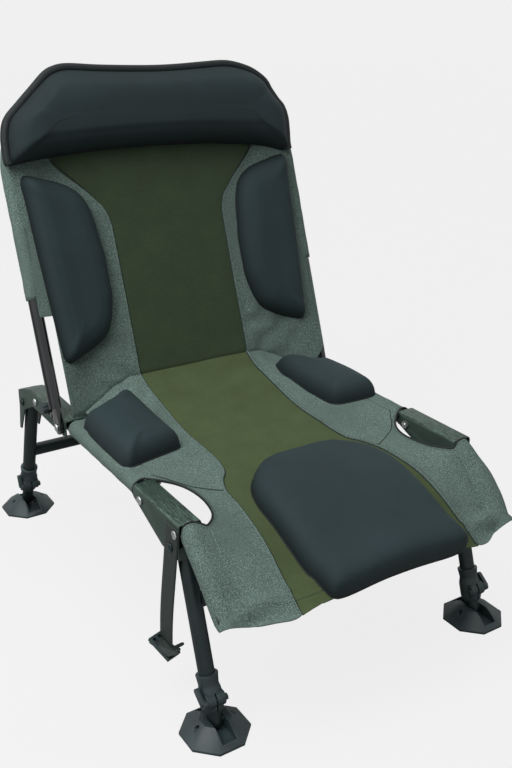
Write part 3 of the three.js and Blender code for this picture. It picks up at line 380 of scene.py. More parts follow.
class Finish:
    """A node material that is put together step by step"""

    def __init__(self, name, roughness=0.5, metallic=0.0, **sockets):
        self.material = bpy.data.materials.new(name)
        self.material.use_nodes = True
        self.tree = self.material.node_tree
        self.shader = self.tree.nodes["Principled BSDF"]
        self.shader.inputs["Roughness"].default_value = roughness
        self.shader.inputs["Metallic"].default_value = metallic
        for socket, value in sockets.items():
            self.shader.inputs[socket.replace("_", " ")].default_value = value
        self.coords = self.tree.nodes.new("ShaderNodeTexCoord").outputs["Object"]

    def fill(self, target, value):
        """Links an output to an input, or sets the input's value"""
        if isinstance(value, bpy.types.NodeSocket):
            self.tree.links.new(value, target)
        else:
            target.default_value = value

    def add(self, kind, inputs=(), **settings):
        node = self.tree.nodes.new(kind)
        for name, value in settings.items():
            setattr(node, name, value)
        for socket, value in dict(inputs).items():
            self.fill(node.inputs[socket], value)
        return node

    def follow(self, layer):
        self.coords = self.add("ShaderNodeAttribute", attribute_name=layer).outputs["Vector"]

    def stretched(self, scale):
        return self.add("ShaderNodeMapping", {"Vector": self.coords, "Scale": scale}).outputs["Vector"]

    def noise(self, scale, detail=3.0, roughness=0.55, coords=None):
        node = self.add("ShaderNodeTexNoise", {
            "Vector": coords or self.coords, "Scale": scale,
            "Detail": detail, "Roughness": roughness})
        return node.outputs["Fac"]

    def cells(self, scale):
        return self.add("ShaderNodeTexVoronoi", {"Vector": self.coords, "Scale": scale}).outputs["Distance"]

    def wave(self, scale, direction):
        node = self.add(
            "ShaderNodeTexWave", {"Vector": self.coords, "Scale": scale}, bands_direction=direction)
        return node.outputs["Fac"]

    def ramp(self, factor, stops):
        """A ramp through stops of (place, grey value or colour)"""
        node = self.add("ShaderNodeValToRGB", {"Fac": factor})
        band = node.color_ramp
        while len(band.elements) < len(stops):
            band.elements.new(0.5)
        for element, (position, colour) in zip(band.elements, stops):
            element.position = position
            element.color = (*(colour if hasattr(colour, "__len__") else (colour, colour, colour)), 1)
        return node.outputs["Color"]

    def tones(self, factor, base, *stops):
        """A ramp through darker and lighter tones of one colour, with stops of (place, tone)"""
        return self.ramp(factor, [(position, scaled(base, tone)) for position, tone in stops])

    def mix(self, factor, first, second):
        """Mixes a first colour, given as an output, with a second one"""
        node = self.add("ShaderNodeMix", {MIX_FACTOR: factor, MIX_FIRST: first}, data_type="RGBA")
        plain = not isinstance(second, bpy.types.NodeSocket)
        self.fill(node.inputs[MIX_SECOND], (*second, 1) if plain else second)
        return node.outputs[MIX_RESULT]

    def math(self, operation, first, second):
        return self.add("ShaderNodeMath", {0: first, 1: second}, operation=operation).outputs[0]

    def colour(self, value):
        self.tree.links.new(value, self.shader.inputs["Base Color"])

    def rough(self, factor, low, high):
        spread = self.add("ShaderNodeMapRange", {"Value": factor, "To Min": low, "To Max": high})
        self.tree.links.new(spread.outputs["Result"], self.shader.inputs["Roughness"])

    def bump(self, height, depth, strength):
        node = self.add("ShaderNodeBump", {"Height": height, "Distance": depth, "Strength": strength})
        self.tree.links.new(node.outputs["Normal"], self.shader.inputs["Normal"])


def scaled(colour, factor):
    return tuple(min(part * factor, 1) for part in colour)


FINISHES = {}


def finish(name):
    """Gives a finish by name and makes it on first use"""
    if name not in FINISHES:
        FINISHES[name] = MAKERS[name](bpy.context.scene.chair_colours)
    return FINISHES[name]


def make_frame_paint(colours):
    made = Finish("frame_paint", 0.42, 0.35, IOR=1.5)
    patches = made.noise(9, 3)
    specks = made.ramp(made.noise(900, 2), ((0.62, 0.0), (0.74, 1.0)))
    base = made.tones(patches, colours.frame_paint, (0.35, 0.8), (0.7, 1.35))
    made.colour(made.mix(made.math("MULTIPLY", specks, 0.35), base, scaled(colours.frame_paint, 4.5)))
    made.rough(patches, 0.34, 0.5)
    made.bump(made.noise(260, 4), 0.00012, 0.5)
    return made.material


def make_gloss_tube(colours):
    made = Finish("gloss_tube", 0.16, 0.5, Coat_Weight=0.6, Coat_Roughness=0.06)
    made.colour(made.tones(made.noise(14, 2), colours.gloss_tube, (0.3, 1), (0.75, 2.2)))
    made.rough(made.noise(60, 3), 0.12, 0.22)
    made.bump(made.noise(420, 2), 0.00004, 0.35)
    return made.material


def make_bracket_paint(colours):
    """Plain painted cheeks, and a brushed top whose streaks run along the chair; the top is painted much
    lighter than the cheeks, partly painted highlights of the light from above
    """
    made = Finish("bracket_paint", 0.5, 0.45)
    paint = colours.bracket_paint
    streaks = made.noise(70, 4, 0.7, made.stretched((9, 0.45, 3)))
    fine = made.noise(330, 3, 0.6, made.stretched((6, 0.4, 2)))
    # The top's streaks run from near black to far lighter than the cheeks: partly the brushed finish, partly
    # painted highlights
    base = made.tones(streaks, paint, (0.4, 0.1), (0.49, 0.6), (0.6, 3.4))
    brushed_and_lit_top = made.mix(0.45, base, made.tones(fine, paint, (0.42, 0.1), (0.6, 3.4)))
    plain = made.tones(made.noise(18, 3), paint, (0.3, 1), (0.7, 1.6))
    normal = made.add("ShaderNodeNewGeometry").outputs["True Normal"]
    facing = made.add("ShaderNodeSeparateXYZ", {"Vector": normal})
    # Faces that look up get the lighter top colour: painted light from above
    upward = made.ramp(facing.outputs["Z"], ((0.45, 0.0), (0.75, 1.0)))
    made.colour(made.mix(upward, plain, brushed_and_lit_top))
    made.rough(streaks, 0.38, 0.62)
    made.bump(fine, 0.0002, 0.5)
    return made.material


def make_black_plastic(colours):
    made = Finish("black_plastic", 0.5, 0.0, IOR=1.5)
    clouds = made.noise(22, 3)
    base = made.tones(clouds, colours.black_plastic, (0.3, 0.75), (0.72, 1.5))
    scuffs = made.ramp(made.noise(130, 5, 0.7), ((0.6, 0.0), (0.78, 1.0)))
    made.colour(made.mix(made.math("MULTIPLY", scuffs, 0.3), base, scaled(colours.black_plastic, 4)))
    made.rough(clouds, 0.42, 0.6)
    made.bump(made.cells(700), 0.00012, 0.35)
    return made.material


def steel(name, base, dark, light, roughness, metallic, smoothest, roughest):
    """Worn metal, between a dark and a light tone of one colour"""
    made = Finish(name, roughness, metallic)
    marks = made.noise(240, 4, 0.6)
    made.colour(made.tones(marks, base, (0.3, dark), (0.7, light)))
    made.rough(marks, smoothest, roughest)
    made.bump(marks, 0.00008, 0.4)
    return made.material


def make_plain_steel(colours):
    return steel("plain_steel", colours.plain_steel, 0.6, 1.5, 0.32, 0.9, 0.22, 0.48)


def make_dark_steel(colours):
    return steel("dark_steel", colours.frame_paint, 0.8, 2.4, 0.4, 0.6, 0.3, 0.5)


def cloth_finish(name, roughness, **sockets):
    """A finish whose pattern stays on the cloth as it bends"""
    made = Finish(name, roughness, 0.0, **sockets)
    made.follow("rest")
    return made


def weave(made, yarns, depth):
    """A plain weave of crossing yarns, as a bump"""
    crossed = made.math("MULTIPLY", made.wave(yarns, "X"), made.wave(yarns, "Y"))
    fuzz = made.math("MULTIPLY", made.noise(1500, 3, 0.7), 0.7)
    made.bump(made.math("ADD", crossed, fuzz), depth, 0.6)


def melange(made, base):
    """Light and dark flecks of mixed yarn, stronger in some places, over slow patches of colour"""
    ground = made.tones(made.noise(16, 4, 0.6), base, (0.3, 0.84), (0.7, 1.14))
    strength = made.ramp(made.noise(9, 2), ((0.36, 0.35), (0.58, 0.9)))
    light = made.ramp(made.noise(560, 2, 0.8), ((0.5, 0.0), (0.6, 1.0)))
    dark = made.ramp(made.noise(430, 3, 0.8, made.stretched((1, 1.6, 1))), ((0.38, 1.0), (0.47, 0.0)))
    flecked = ground
    for flecks, share, tone in ((light, 0.75, 2.9), (dark, 0.8, 0.2)):
        amount = made.math("MULTIPLY", made.math("MULTIPLY", flecks, share), strength)
        flecked = made.mix(amount, flecked, scaled(base, tone))
    return flecked


def make_grey_cloth(colours):
    made = cloth_finish("grey_cloth", 0.92)
    made.colour(melange(made, colours.grey_cloth))
    weave(made, 160, 0.0004)
    return made.material


def olive(name, base):
    made = cloth_finish(name, 0.94)
    ground = made.tones(made.noise(20, 4, 0.6), base, (0.3, 0.86), (0.72, 1.14))
    fine = made.ramp(made.noise(420, 3, 0.7), ((0.5, 0.0), (0.8, 0.5)))
    made.colour(made.mix(fine, ground, scaled(base, 1.7)))
    weave(made, 220, 0.0003)
    return made.material


def make_green_cloth(colours):
    return olive("green_cloth", colours.green_cloth)


def make_back_green_cloth(colours):
    return olive("back_green_cloth", colours.back_green_cloth)


def knit(name, base):
    """Smooth knit with painted shade that darkens it near a pad's edge, where its lift layer is low"""
    made = cloth_finish(name, 0.78, Specular_IOR_Level=0.3)
    fine = made.ramp(made.noise(1100, 2, 0.7), ((0.5, 0.0), (0.8, 0.45)))
    ground = made.tones(made.noise(7, 3), base, (0.3, 0.9), (0.7, 1.25))
    top = made.mix(fine, ground, scaled(base, 1.9))
    lift = made.add("ShaderNodeAttribute", attribute_name="lift").outputs["Fac"]
    # Painted shade: the knit darkens down a pad's sides towards its base, where the lift layer is low
    made.colour(made.mix(made.ramp(lift, ((0.2, 0.72), (0.96, 0.0))), top, scaled(base, 0.18)))
    made.bump(made.math("ADD", made.wave(330, "DIAGONAL"), made.noise(1800, 2)), 0.00012, 0.4)
    return made.material


def make_pad_knit(colours):
    return knit("pad_knit", colours.pad_knit)


def make_head_knit(colours):
    return knit("head_knit", scaled(colours.pad_knit, 0.72))


def make_binding(colours):
    made = Finish("binding", 0.6, 0.0, Specular_IOR_Level=0.3)
    made.colour(made.tones(made.noise(300, 3), colours.binding, (0.3, 0.7), (0.75, 2.2)))
    made.bump(made.wave(420, "DIAGONAL"), 0.00015, 0.5)
    return made.material


def make_webbing(colours):
    made = cloth_finish("webbing", 0.7)
    twill = made.wave(190, "DIAGONAL")
    ground = made.tones(made.noise(160, 4), colours.webbing, (0.3, 0.7), (0.7, 1.7))
    made.colour(made.mix(made.math("MULTIPLY", twill, 0.5), ground, scaled(colours.webbing, 2.6)))
    ridges = made.math("MULTIPLY", made.wave(75, "X"), 0.3)
    made.bump(made.math("ADD", twill, ridges), 0.0003, 0.6)
    return made.material


def thread(name, base, fibres, dark, light):
    """Spun thread: dark and light are stops of (place, tone)"""
    made = Finish(name, 0.8, 0.0)
    made.colour(made.tones(made.noise(*fibres), base, dark, light))
    made.bump(made.noise(2400, 2), 0.0001, 0.5)
    return made.material


def make_pale_thread(colours):
    return thread("pale_thread", scaled(colours.grey_cloth, 2.0), (500, 3, 0.7), (0.4, 0.3), (0.6, 1))


def make_grey_thread(colours):
    return thread("grey_thread", scaled(colours.grey_cloth, 0.35), (700, 2), (0.35, 0.7), (0.65, 2.0))


MAKERS = {
    "frame_paint": make_frame_paint, "gloss_tube": make_gloss_tube, "bracket_paint": make_bracket_paint,
    "black_plastic": make_black_plastic, "plain_steel": make_plain_steel, "dark_steel": make_dark_steel,
    "grey_cloth": make_grey_cloth, "green_cloth": make_green_cloth, "back_green_cloth": make_back_green_cloth,
    "pad_knit": make_pad_knit, "head_knit": make_head_knit, "binding": make_binding,
    "webbing": make_webbing, "pale_thread": make_pale_thread, "grey_thread": make_grey_thread,
}


# The seat frame's tubes

def rail_path(side, steps=14):
    points = [Vector((side * RAIL_X, RAIL_REAR_Y + SHIFT, RAIL_Z))]
    for step in range(steps + 1):
        angle = RAIL_ANGLE * step / steps
        points.append(Vector((
            side * RAIL_X, RAIL_BEND_Y + SHIFT - RAIL_BEND_RADIUS * math.sin(angle),
            RAIL_Z - RAIL_BEND_RADIUS * (1 - math.cos(angle)))))
    points.append(points[-1] - Vector((0, math.cos(RAIL_ANGLE), math.sin(RAIL_ANGLE))) * RAIL_DROP)
    return points


def front_bar_path(steps=40):
    corner = rail_path(1)[-1]
    reach = RAIL_X + RAIL_RADIUS
    points = []
    for step in range(steps + 1):
        share = step / steps * 2 - 1
        bow = FRONT_BOW * (1 - share * share)
        points.append(Vector((
            share * reach, corner.y - bow * math.sin(RAIL_ANGLE), corner.z + bow * math.cos(RAIL_ANGLE))))
    return points


def piece(name, mesh, finish_name, body, nodes=()):
    """A stiff piece; its slot has its finish's name"""
    made = new_piece(name, mesh, [finish(finish_name)])
    return finish_piece(made, body, nodes)


def tube_piece(name, path, radii, sides, finish_name, body, nodes=()):
    mesh = bmesh.new()
    sweep(mesh, path, radii, sides)
    outward(mesh)
    return piece(name, mesh, finish_name, body, nodes)


# Backrest tube, in the backrest's own frame

def post_path(side, start=34 * MM, steps=22, reach=TOP_BAR_REACH):
    points = [Vector((side * POST_X, 0, start))]
    for step in range(steps + 1):
        angle = math.pi / 2 * step / steps
        points.append(Vector((
            side * (POST_X - POST_CORNER * (1 - math.cos(angle))), 0,
            POST_LENGTH - POST_CORNER + POST_CORNER * math.sin(angle))))
    points.append(Vector((side * reach, 0, POST_LENGTH)))
    return points


# Bolts

BOLT_HEAD = 7 * MM
BOLT_RISE = 4.5 * MM
BOLT_RADIUS = 4 * MM
NUT_RISE = 5 * MM
CHEEK_INNER = 244 * MM
CHEEK_OUTER = 282 * MM
POST_PLATE = 8 * MM
POST_FOOT_ROUND = 0.8 * MM
WING_ROUND = 0.8 * MM
FOOT_ROUND = 1.2 * MM
PIN_ROUND = 0.6 * MM
KNOB_ROUND = 1 * MM
BUCKLE_ROUND = 0.9 * MM
RIVET_ROUND = 0.8 * MM
STRAP_THICKNESS = 1.6 * MM
BOLT_PLACES = {
    "front_bracket_bolt": (-137, RAIL_HEIGHT),
    "rear_bracket_bolt": (300, RAIL_HEIGHT),
    "front_leg_pivot": (LEG_PIVOT_Y["front"], LEG_PIVOT_HEIGHT),
    "rear_leg_pivot": (LEG_PIVOT_Y["rear"], LEG_PIVOT_HEIGHT),
    "back_pivot": (RECLINE_Y, RAIL_HEIGHT),
}


def bolt_mesh(mesh, side, inner, outer, y, z):
    """A domed bolt with a washer under its head and a nut with its tip on the inside"""
    head = outer + CLEAR
    dome = [(BOLT_HEAD * math.cos(angle), head + BOLT_RISE * (0.35 + 0.65 * math.sin(angle)))
            for angle in (math.pi / 2 * step / 6 for step in range(7))]
    dome[-1] = (0, head + BOLT_RISE)
    profile = [(0, inner - NUT_RISE * 1.25), (BOLT_RADIUS * 0.8, inner - NUT_RISE * 1.25),
               (BOLT_RADIUS, inner - NUT_RISE * 1.1), (BOLT_RADIUS, head), (BOLT_HEAD * 0.94, head), *dome]
    matrix = along_x(side, y, z)
    turned(mesh, profile, matrix, 32)
    nut = bmesh.ops.create_circle(
        mesh, cap_ends=True, segments=6, radius=BOLT_HEAD,
        matrix=matrix @ Matrix.Translation((0, 0, inner - NUT_RISE)))
    grow_face(mesh, nut["verts"][0].link_faces[0], (matrix.to_3x3() @ Z_AXIS) * (NUT_RISE - CLEAR))


class ChairPiece:
    """Shared base of the operators"""

    bl_options = {"REGISTER", "UNDO"}

    @property
    def sizes(self):
        return bpy.context.scene.chair_sizes


class CHAIR_OT_seat_frame(ChairPiece, Operator):
    """Makes the two seat rails and the bowed front bar"""

    bl_idname = "chair.seat_frame"
    bl_label = "Seat frame"

    def execute(self, context):
        sides = self.sizes.ring_sides
        for name, side in SIDES:
            tube_piece(
                f"rail_tube_{name}", rail_path(side), RAIL_RADIUS, sides, "frame_paint",
                "seat", [f"seat_rail_{name}"])
        tube_piece(
            "front_bar_tube", front_bar_path(), RAIL_RADIUS, sides, "frame_paint", "seat", ["seat_front_bar"])
        return {"FINISHED"}


FOOT_TOP = 60 * MM


class CHAIR_OT_back_frame(ChairPiece, Operator):
    """Makes the back posts with their flattened feet and recline plates, and the top bar"""

    bl_idname = "chair.back_frame"
    bl_label = "Back frame"

    def execute(self, context):
        sides = self.sizes.ring_sides
        for name, side in SIDES:
            path = [BACK @ point for point in post_path(side)]
            tube_piece(
                f"back_tube_{name}", path, POST_RADIUS, sides, "gloss_tube",
                "backrest", [f"back_post_{name}"])
            piece(f"post_foot_{name}", self.foot(name), "gloss_tube", "backrest")
        bar = [BACK @ Vector((share * TOP_BAR_REACH, 0, POST_LENGTH)) for share in (-1, 0, 1)]
        tube_piece("top_tube", bar, POST_RADIUS, sides, "gloss_tube", "backrest", ["back_top_bar"])
        return {"FINISHED"}

    @staticmethod
    def foot(name):
        """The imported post's foot: its part below the round tube, softened"""
        mesh = softened(f"back_post_{name}", POST_FOOT_ROUND)
        normal = (BACK.to_3x3() @ Z_AXIS).normalized()
        bmesh.ops.bisect_plane(
            mesh, geom=list(mesh.verts) + list(mesh.edges) + list(mesh.faces),
            plane_co=BACK @ Vector((0, 0, FOOT_TOP)), plane_no=normal, clear_outer=True)
        bmesh.ops.holes_fill(mesh, edges=boundary_loop(mesh))
        return mesh


FOLD_ROUND = 5 * MM


class CHAIR_OT_brackets(ChairPiece, Operator):
    """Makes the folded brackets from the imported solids, with soft edges"""

    bl_idname = "chair.brackets"
    bl_label = "Brackets"

    def execute(self, context):
        for name, _ in SIDES:
            for end in ENDS:
                mesh = softened(f"{end}_bracket_{name}", 0)
                backs = [edge for edge in mesh.edges if self.along_top(edge)]
                bmesh.ops.bevel(
                    mesh, geom=backs, offset=FOLD_ROUND, offset_type="OFFSET", segments=5, profile=0.5,
                    affect="EDGES", clamp_overlap=True, material=-1)
                rounded(mesh, self.sizes.edge_round, 2)
                piece(f"{end}_bracket_plate_{name}", mesh, "bracket_paint", "seat", [f"{end}_bracket_{name}"])
        return {"FINISHED"}

    @staticmethod
    def along_top(edge):
        """Whether an edge is an outer long edge of the folded top"""
        if len(edge.link_faces) != 2 or not edge.is_convex:
            return False
        steep = sorted(abs(face.normal.x) for face in edge.link_faces)
        upward = max(face.normal.z for face in edge.link_faces)
        return steep[1] > 0.9 and upward > 0.8 and edge.calc_length() > 20 * MM


class CHAIR_OT_bolts(ChairPiece, Operator):
    """Makes the bolts of the brackets and pivots"""

    bl_idname = "chair.bolts"
    bl_label = "Bolts"

    def execute(self, context):
        outers = {"back_pivot": CHEEK_OUTER + CLEAR + POST_PLATE}
        for name, side in SIDES:
            outers["front_leg_pivot"] = CHEEK_OUTER + (CLEAR + STRAP_THICKNESS if name == "left" else 0)
            for node, (y, z) in BOLT_PLACES.items():
                mesh = bmesh.new()
                outer = outers.get(node, CHEEK_OUTER)
                bolt_mesh(mesh, side, CHEEK_INNER, outer, y * MM + SHIFT, z * MM)
                outward(mesh)
                metal = "dark_steel" if "leg" in node else "plain_steel"
                piece(f"{node}_screw_{name}", mesh, metal, "seat", [f"{node}_{name}"])
        return {"FINISHED"}


# Legs, in each leg pair's own frame

LEG_TUBE = {"front": 228 * MM, "rear": 208 * MM}
LEG_CROSS = {"front": 88 * MM, "rear": 133 * MM}
CROSS_REACH = RAIL_X - LEG_RADIUS * 0.6
SLIDER_TOP = 62 * MM
SMALLEST_RING = 0.5 * MM
SMALLEST_TIP = 0.6 * MM
ROUND_STEPS = 8
TOP_SHARE = 0.7
COLLAR_LENGTH = 58 * MM
COLLAR_OVERLAP = 30 * MM
COLLAR_GAP = 0.1 * MM
COLLAR_STEP = 0.5 * MM
COLLAR_SIDES = 48
COLLAR_FOOT = ((14.6, 0), (15.6, 1.5), (17.4, 7), (17.8, 10), (17.8, 30), (17.0, 35), (15.8, 39), (15.4, 42))
COLLAR_MOUTH = ((15.7, 12), (16.6, 4), (17.1, 1.2), (16.9, 0.3), (16.4, 0))
EAR_HEIGHT = 20 * MM
EAR_OUT = 10 * MM
EAR_SPANS = ((-15, -1.2), (1.2, 15))
EAR_SIDES = 28
SLIT_PLACE = (-16 * MM, 14 * MM)
SLIT_SIZE = (2.2 * MM, 30 * MM, 34 * MM)
OVERRUN = 2 * MM


class CHAIR_OT_legs(ChairPiece, Operator):
    """Makes the leg tubes, their cross bars and the sliding tubes"""

    bl_idname = "chair.legs"
    bl_label = "Legs"

    def execute(self, context):
        sides = self.sizes.ring_sides
        for end in ENDS:
            for name, side in SIDES:
                self.tube(end, name, side * RAIL_X, sides)
                self.slider(end, name, side * RAIL_X, sides)
            bar = [LEG[end] @ Vector((share * CROSS_REACH, 0, -LEG_CROSS[end])) for share in (-1, 0, 1)]
            tube_piece(
                f"{end}_cross_tube", bar, LEG_RADIUS, sides, "frame_paint",
                f"{end}_legs", [f"{end}_leg_cross_bar"])
        return {"FINISHED"}

    @staticmethod
    def tube(end, name, x, sides):
        """A leg's outer tube, with its rounded top"""
        angles = [math.pi / 2 * step / ROUND_STEPS for step in range(ROUND_STEPS, 0, -1)]
        radii = [LEG_RADIUS] + [max(LEG_RADIUS * math.sin(angle), SMALLEST_RING) for angle in angles]
        heights = [-LEG_TUBE[end]] + [LEG_RADIUS * math.cos(angle) * TOP_SHARE for angle in angles]
        path = [LEG[end] @ Vector((x, 0, height)) for height in heights]
        tube_piece(
            f"{end}_leg_{name}", path, radii, sides, "frame_paint", f"{end}_legs", [f"{end}_leg_tube_{name}"])

    @staticmethod
    def slider(end, name, x, sides):
        """A leg's inner tube, with its rounded end in the foot"""
        pin = -(LEG_PIVOT_Z - FOOT_PIN_Z) / math.cos(LEG_LEAN[end])
        angles = [math.pi / 2 * step / ROUND_STEPS for step in range(ROUND_STEPS + 1)]
        radii = [max(EXTENSION_RADIUS * math.sin(angle), SMALLEST_TIP) for angle in angles]
        radii.append(EXTENSION_RADIUS)
        heights = [pin - EXTENSION_RADIUS * math.cos(angle) for angle in angles] + [-SLIDER_TOP]
        path = [LEG[end] @ Vector((x, 0, height)) for height in heights]
        tube_piece(
            f"{end}_slider_{name}", path, radii, sides, "frame_paint",
            f"{end}_extension_{name}", [f"{end}_leg_extension_{name}"])


class CHAIR_OT_collars(ChairPiece, Operator):
    """Makes the split collars and their wing screws"""

    bl_idname = "chair.collars"
    bl_label = "Collars"

    def execute(self, context):
        for end in ENDS:
            for name, side in SIDES:
                collar = self.collar(end, name, LEG[end] @ Matrix.Translation((side * RAIL_X, 0, 0)))
                finish_piece(collar, f"{end}_legs", [f"{end}_leg_collar_{name}"])
                node = f"{end}_leg_clamp_{name}"
                wing = softened(node, WING_ROUND)
                piece(f"{end}_wing_{name}", wing, "black_plastic", f"{end}_clamp_{name}", [node])
        return {"FINISHED"}

    def collar(self, end, name, at):
        """A turned collar with two ears, bored and slit at its front"""
        tube_end = -LEG_TUBE[end]
        top = tube_end + COLLAR_OVERLAP
        bottom = top - COLLAR_LENGTH
        bore = LEG_RADIUS + COLLAR_GAP
        throat = EXTENSION_RADIUS + COLLAR_GAP
        profile = [(throat, bottom)]
        profile += [(radius * MM, bottom + rise * MM) for radius, rise in COLLAR_FOOT]
        profile += [(radius * MM, top - drop * MM) for radius, drop in COLLAR_MOUTH]
        profile += [(bore, top), (bore, tube_end), (throat, tube_end - COLLAR_STEP), (throat, bottom)]
        mesh = bmesh.new()
        turned(mesh, profile, at, COLLAR_SIDES)
        outward(mesh)
        made = new_piece(f"{end}_collar_{name}", mesh, [finish("black_plastic")])
        combined(made, self.ears(at @ Matrix.Translation((0, -EAR_OUT, bottom + EAR_HEIGHT))), "UNION")
        slit = bmesh.new()
        slit_y, slit_z = SLIT_PLACE
        bmesh.ops.create_cube(
            slit, size=1,
            matrix=at @ Matrix.Translation((0, slit_y, bottom + slit_z)) @ Matrix.Diagonal((*SLIT_SIZE, 1)))
        combined(made, new_piece("slit", slit, []), "DIFFERENCE")
        inside = bmesh.new()
        turned(inside, [
            (0, bottom - OVERRUN), (throat, bottom - OVERRUN), (throat, tube_end - COLLAR_STEP),
            (bore, tube_end), (bore, top + OVERRUN), (0, top + OVERRUN)], at, COLLAR_SIDES)
        outward(inside)
        combined(made, new_piece("inside", inside, []), "DIFFERENCE")
        made.data.set_sharp_from_angle(angle=TUBE_SHARP)
        return made

    @staticmethod
    def ears(at):
        """The two round ears that the clamp's screw draws together"""
        mesh = bmesh.new()
        for low, high in EAR_SPANS:
            ear = [(0.3 * MM, low * MM), (10.8 * MM, low * MM), (12 * MM, low * MM + 1.2 * MM),
                   (12 * MM, high * MM - 1.2 * MM), (10.8 * MM, high * MM), (0.3 * MM, high * MM)]
            turned(mesh, ear, at @ Matrix.Rotation(math.pi / 2, 4, "Y"), EAR_SIDES)
        outward(mesh)
        bmesh.ops.holes_fill(mesh, edges=boundary_loop(mesh))
        return new_piece("collar_ears", mesh, [finish("black_plastic")])


class CHAIR_OT_feet(ChairPiece, Operator):
    """Makes the eight-sided feet with their pins"""

    bl_idname = "chair.feet"
    bl_label = "Feet"

    def execute(self, context):
        for end in ENDS:
            for name, _ in SIDES:
                foot = f"{end}_foot_{name}"
                mesh = softened(foot, FOOT_ROUND, 3)
                piece(f"{end}_mud_foot_{name}", mesh, "black_plastic", foot, [foot])
                pin = f"{end}_foot_pin_{name}"
                piece(f"{end}_hinge_pin_{name}", softened(pin, PIN_ROUND), "plain_steel", foot, [pin])
        return {"FINISHED"}


class CHAIR_OT_knobs(ChairPiece, Operator):
    """Makes the lobed recline knobs"""

    bl_idname = "chair.knobs"
    bl_label = "Recline knobs"

    def execute(self, context):
        for name, _ in SIDES:
            knob = f"recline_knob_{name}"
            piece(f"lobed_knob_{name}", softened(knob, KNOB_ROUND, 3), "black_plastic", knob, [knob])
        return {"FINISHED"}


# The sling's surfaces: seat places are in millimetres from the middle of the seat frame

CREASE_RISE = 58
CREASE_GAP = 2
CREASE_Y = RECLINE_Y + math.tan(BACK_LEAN) * CREASE_RISE + CREASE_GAP
HEM_Y = -403
EDGE_HEM_Y = -373
EDGE_LIFT = 13
FLAT_HALF = 128
EDGE_HALF = 260
SLEEVE_SEAM = 236
SEAM_GAP = 0.6
GREEN_SINK = 0.9
GREY_RISE = 1.3
SLEEVE_RADIUS = 15.2
SLEEVE_REAR_Y = 152
SLEEVE_LEAD = 21
CUTOUT_OUTER = 264
CUTOUT_MIDDLE_Y = -180
DROOP_HALF = 270
HEM_DROOP = 14
BAR_HALF = 275.5
BAR_END_Y = -349.1
BAR_END_HEIGHT = 211.6
SEAT_PROFILE = (
    (0, 1), (0.055, 0.72), (0.11, 0.57), (0.22, 0.27), (0.31, 0.12), (0.44, 0.05), (0.6, -0.13),
    (0.68, -0.19), (0.76, -0.33), (0.845, -0.6), (0.92, -0.85), (0.97, -0.98), (1, -1.14),
)
SEAT_PANEL = (
    (-403, 168), (-357, 166), (-310, 163), (-261, 160), (-213, 155), (-169, 150), (-140, 138), (-122, 124),
    (-101, 118), (-66, 115), (100, 115), (160, 114.5), (196, 115),
)
BACK_PANEL = (
    (0, 116), (74, 116), (330, 116), (352, 119), (372, 127), (390, 142), (409, 158), (456, 202), (480, 214),
    (590, 236),
)
GREEN_HALF = 115
GREY_WIDTH = 120
SLEEVE_ROUND = 100
CROSS_SEAM = ((242, -94), (228, -112), (214, -132), (200, -147), (185, -155), (170, -162), (153, -168))
CUTOUT = (
    (330, -97), (282, -99), (262, -104), (246, -111), (233, -122), (222, -133), (213, -146), (207.5, -160),
    (205, -176), (205, -194), (208.5, -216), (215, -236), (226, -252), (240, -261), (252, -256), (264, -253),
    (276, -256), (288, -262), (330, -264),
)


def edge_blend(x):
    return smoothstep(abs(x), FLAT_HALF, EDGE_HALF)


def between(value, low, low_end, high, high_end):
    """1 between two soft edges and 0 outside them"""
    return smoothstep(value, low, low_end) * (1 - smoothstep(value, high, high_end))


def drift(x, y, size, seed):
    """A slow change over the cloth, with its size across and along in millimetres"""
    return noise.noise(Vector((x / size[0], y / size[1], seed)))


def rail_top(y):
    """Height of the cloth's edge, which stays at one distance over the rail and round its bend"""
    level = RAIL_HEIGHT + EDGE_LIFT
    outer = BEND_RADIUS + EDGE_LIFT
    outer_end = BEND_Y - outer * math.sin(RAIL_ANGLE)
    if y >= BEND_Y:
        return level
    if y >= outer_end:
        return RAIL_HEIGHT - BEND_RADIUS + math.sqrt(outer * outer - (BEND_Y - y) ** 2)
    return level - outer * (1 - math.cos(RAIL_ANGLE)) - (outer_end - y) * math.tan(RAIL_ANGLE)


def crease_height(x):
    return lerp(CREASE_RISE, EDGE_LIFT, edge_blend(x))


def seat_ends(x):
    """The rear and front ends of the seat's cloth at a place across"""
    rear = RECLINE_Y + math.tan(BACK_LEAN) * crease_height(x) + CREASE_GAP
    return rear, lerp(HEM_Y, EDGE_HEM_Y, edge_blend(x))


def seat_share(x, y):
    rear, front = seat_ends(x)
    return (y - rear) / (front - rear)


def seat_height(x, y):
    """Height of the cloth between the rails, without its folds"""
    share = min(max(seat_share(x, y), 0), 1)
    wave = math.sin(math.pi * min(abs(x), DROOP_HALF) / DROOP_HALF) ** 2
    droop = HEM_DROOP * wave * smoothstep(share, 0.82, 1)
    middle = RAIL_HEIGHT + spline(SEAT_PROFILE, share) * CREASE_RISE
    return lerp(middle, rail_top(lerp(RECLINE_Y, EDGE_HEM_Y, share)), edge_blend(x)) - droop


def bar_centre(x):
    """The front bar's centre line at a place across"""
    share = x / BAR_HALF
    bow = BAR_BOW * (1 - share * share)
    return BAR_END_Y - bow * math.sin(RAIL_ANGLE), BAR_END_HEIGHT + bow * math.cos(RAIL_ANGLE)


def seat_top(x, y):
    """Height of the cloth's upper face, kept over the front bar, with its soft folds"""
    height = seat_height(x, y)
    centre_y, centre_z = bar_centre(x)
    reach = SLEEVE_RADIUS ** 2 - (y - centre_y) ** 2
    if reach > 0:
        height = max(height, centre_z + math.sqrt(reach))
    return height + seat_folds(x, y)


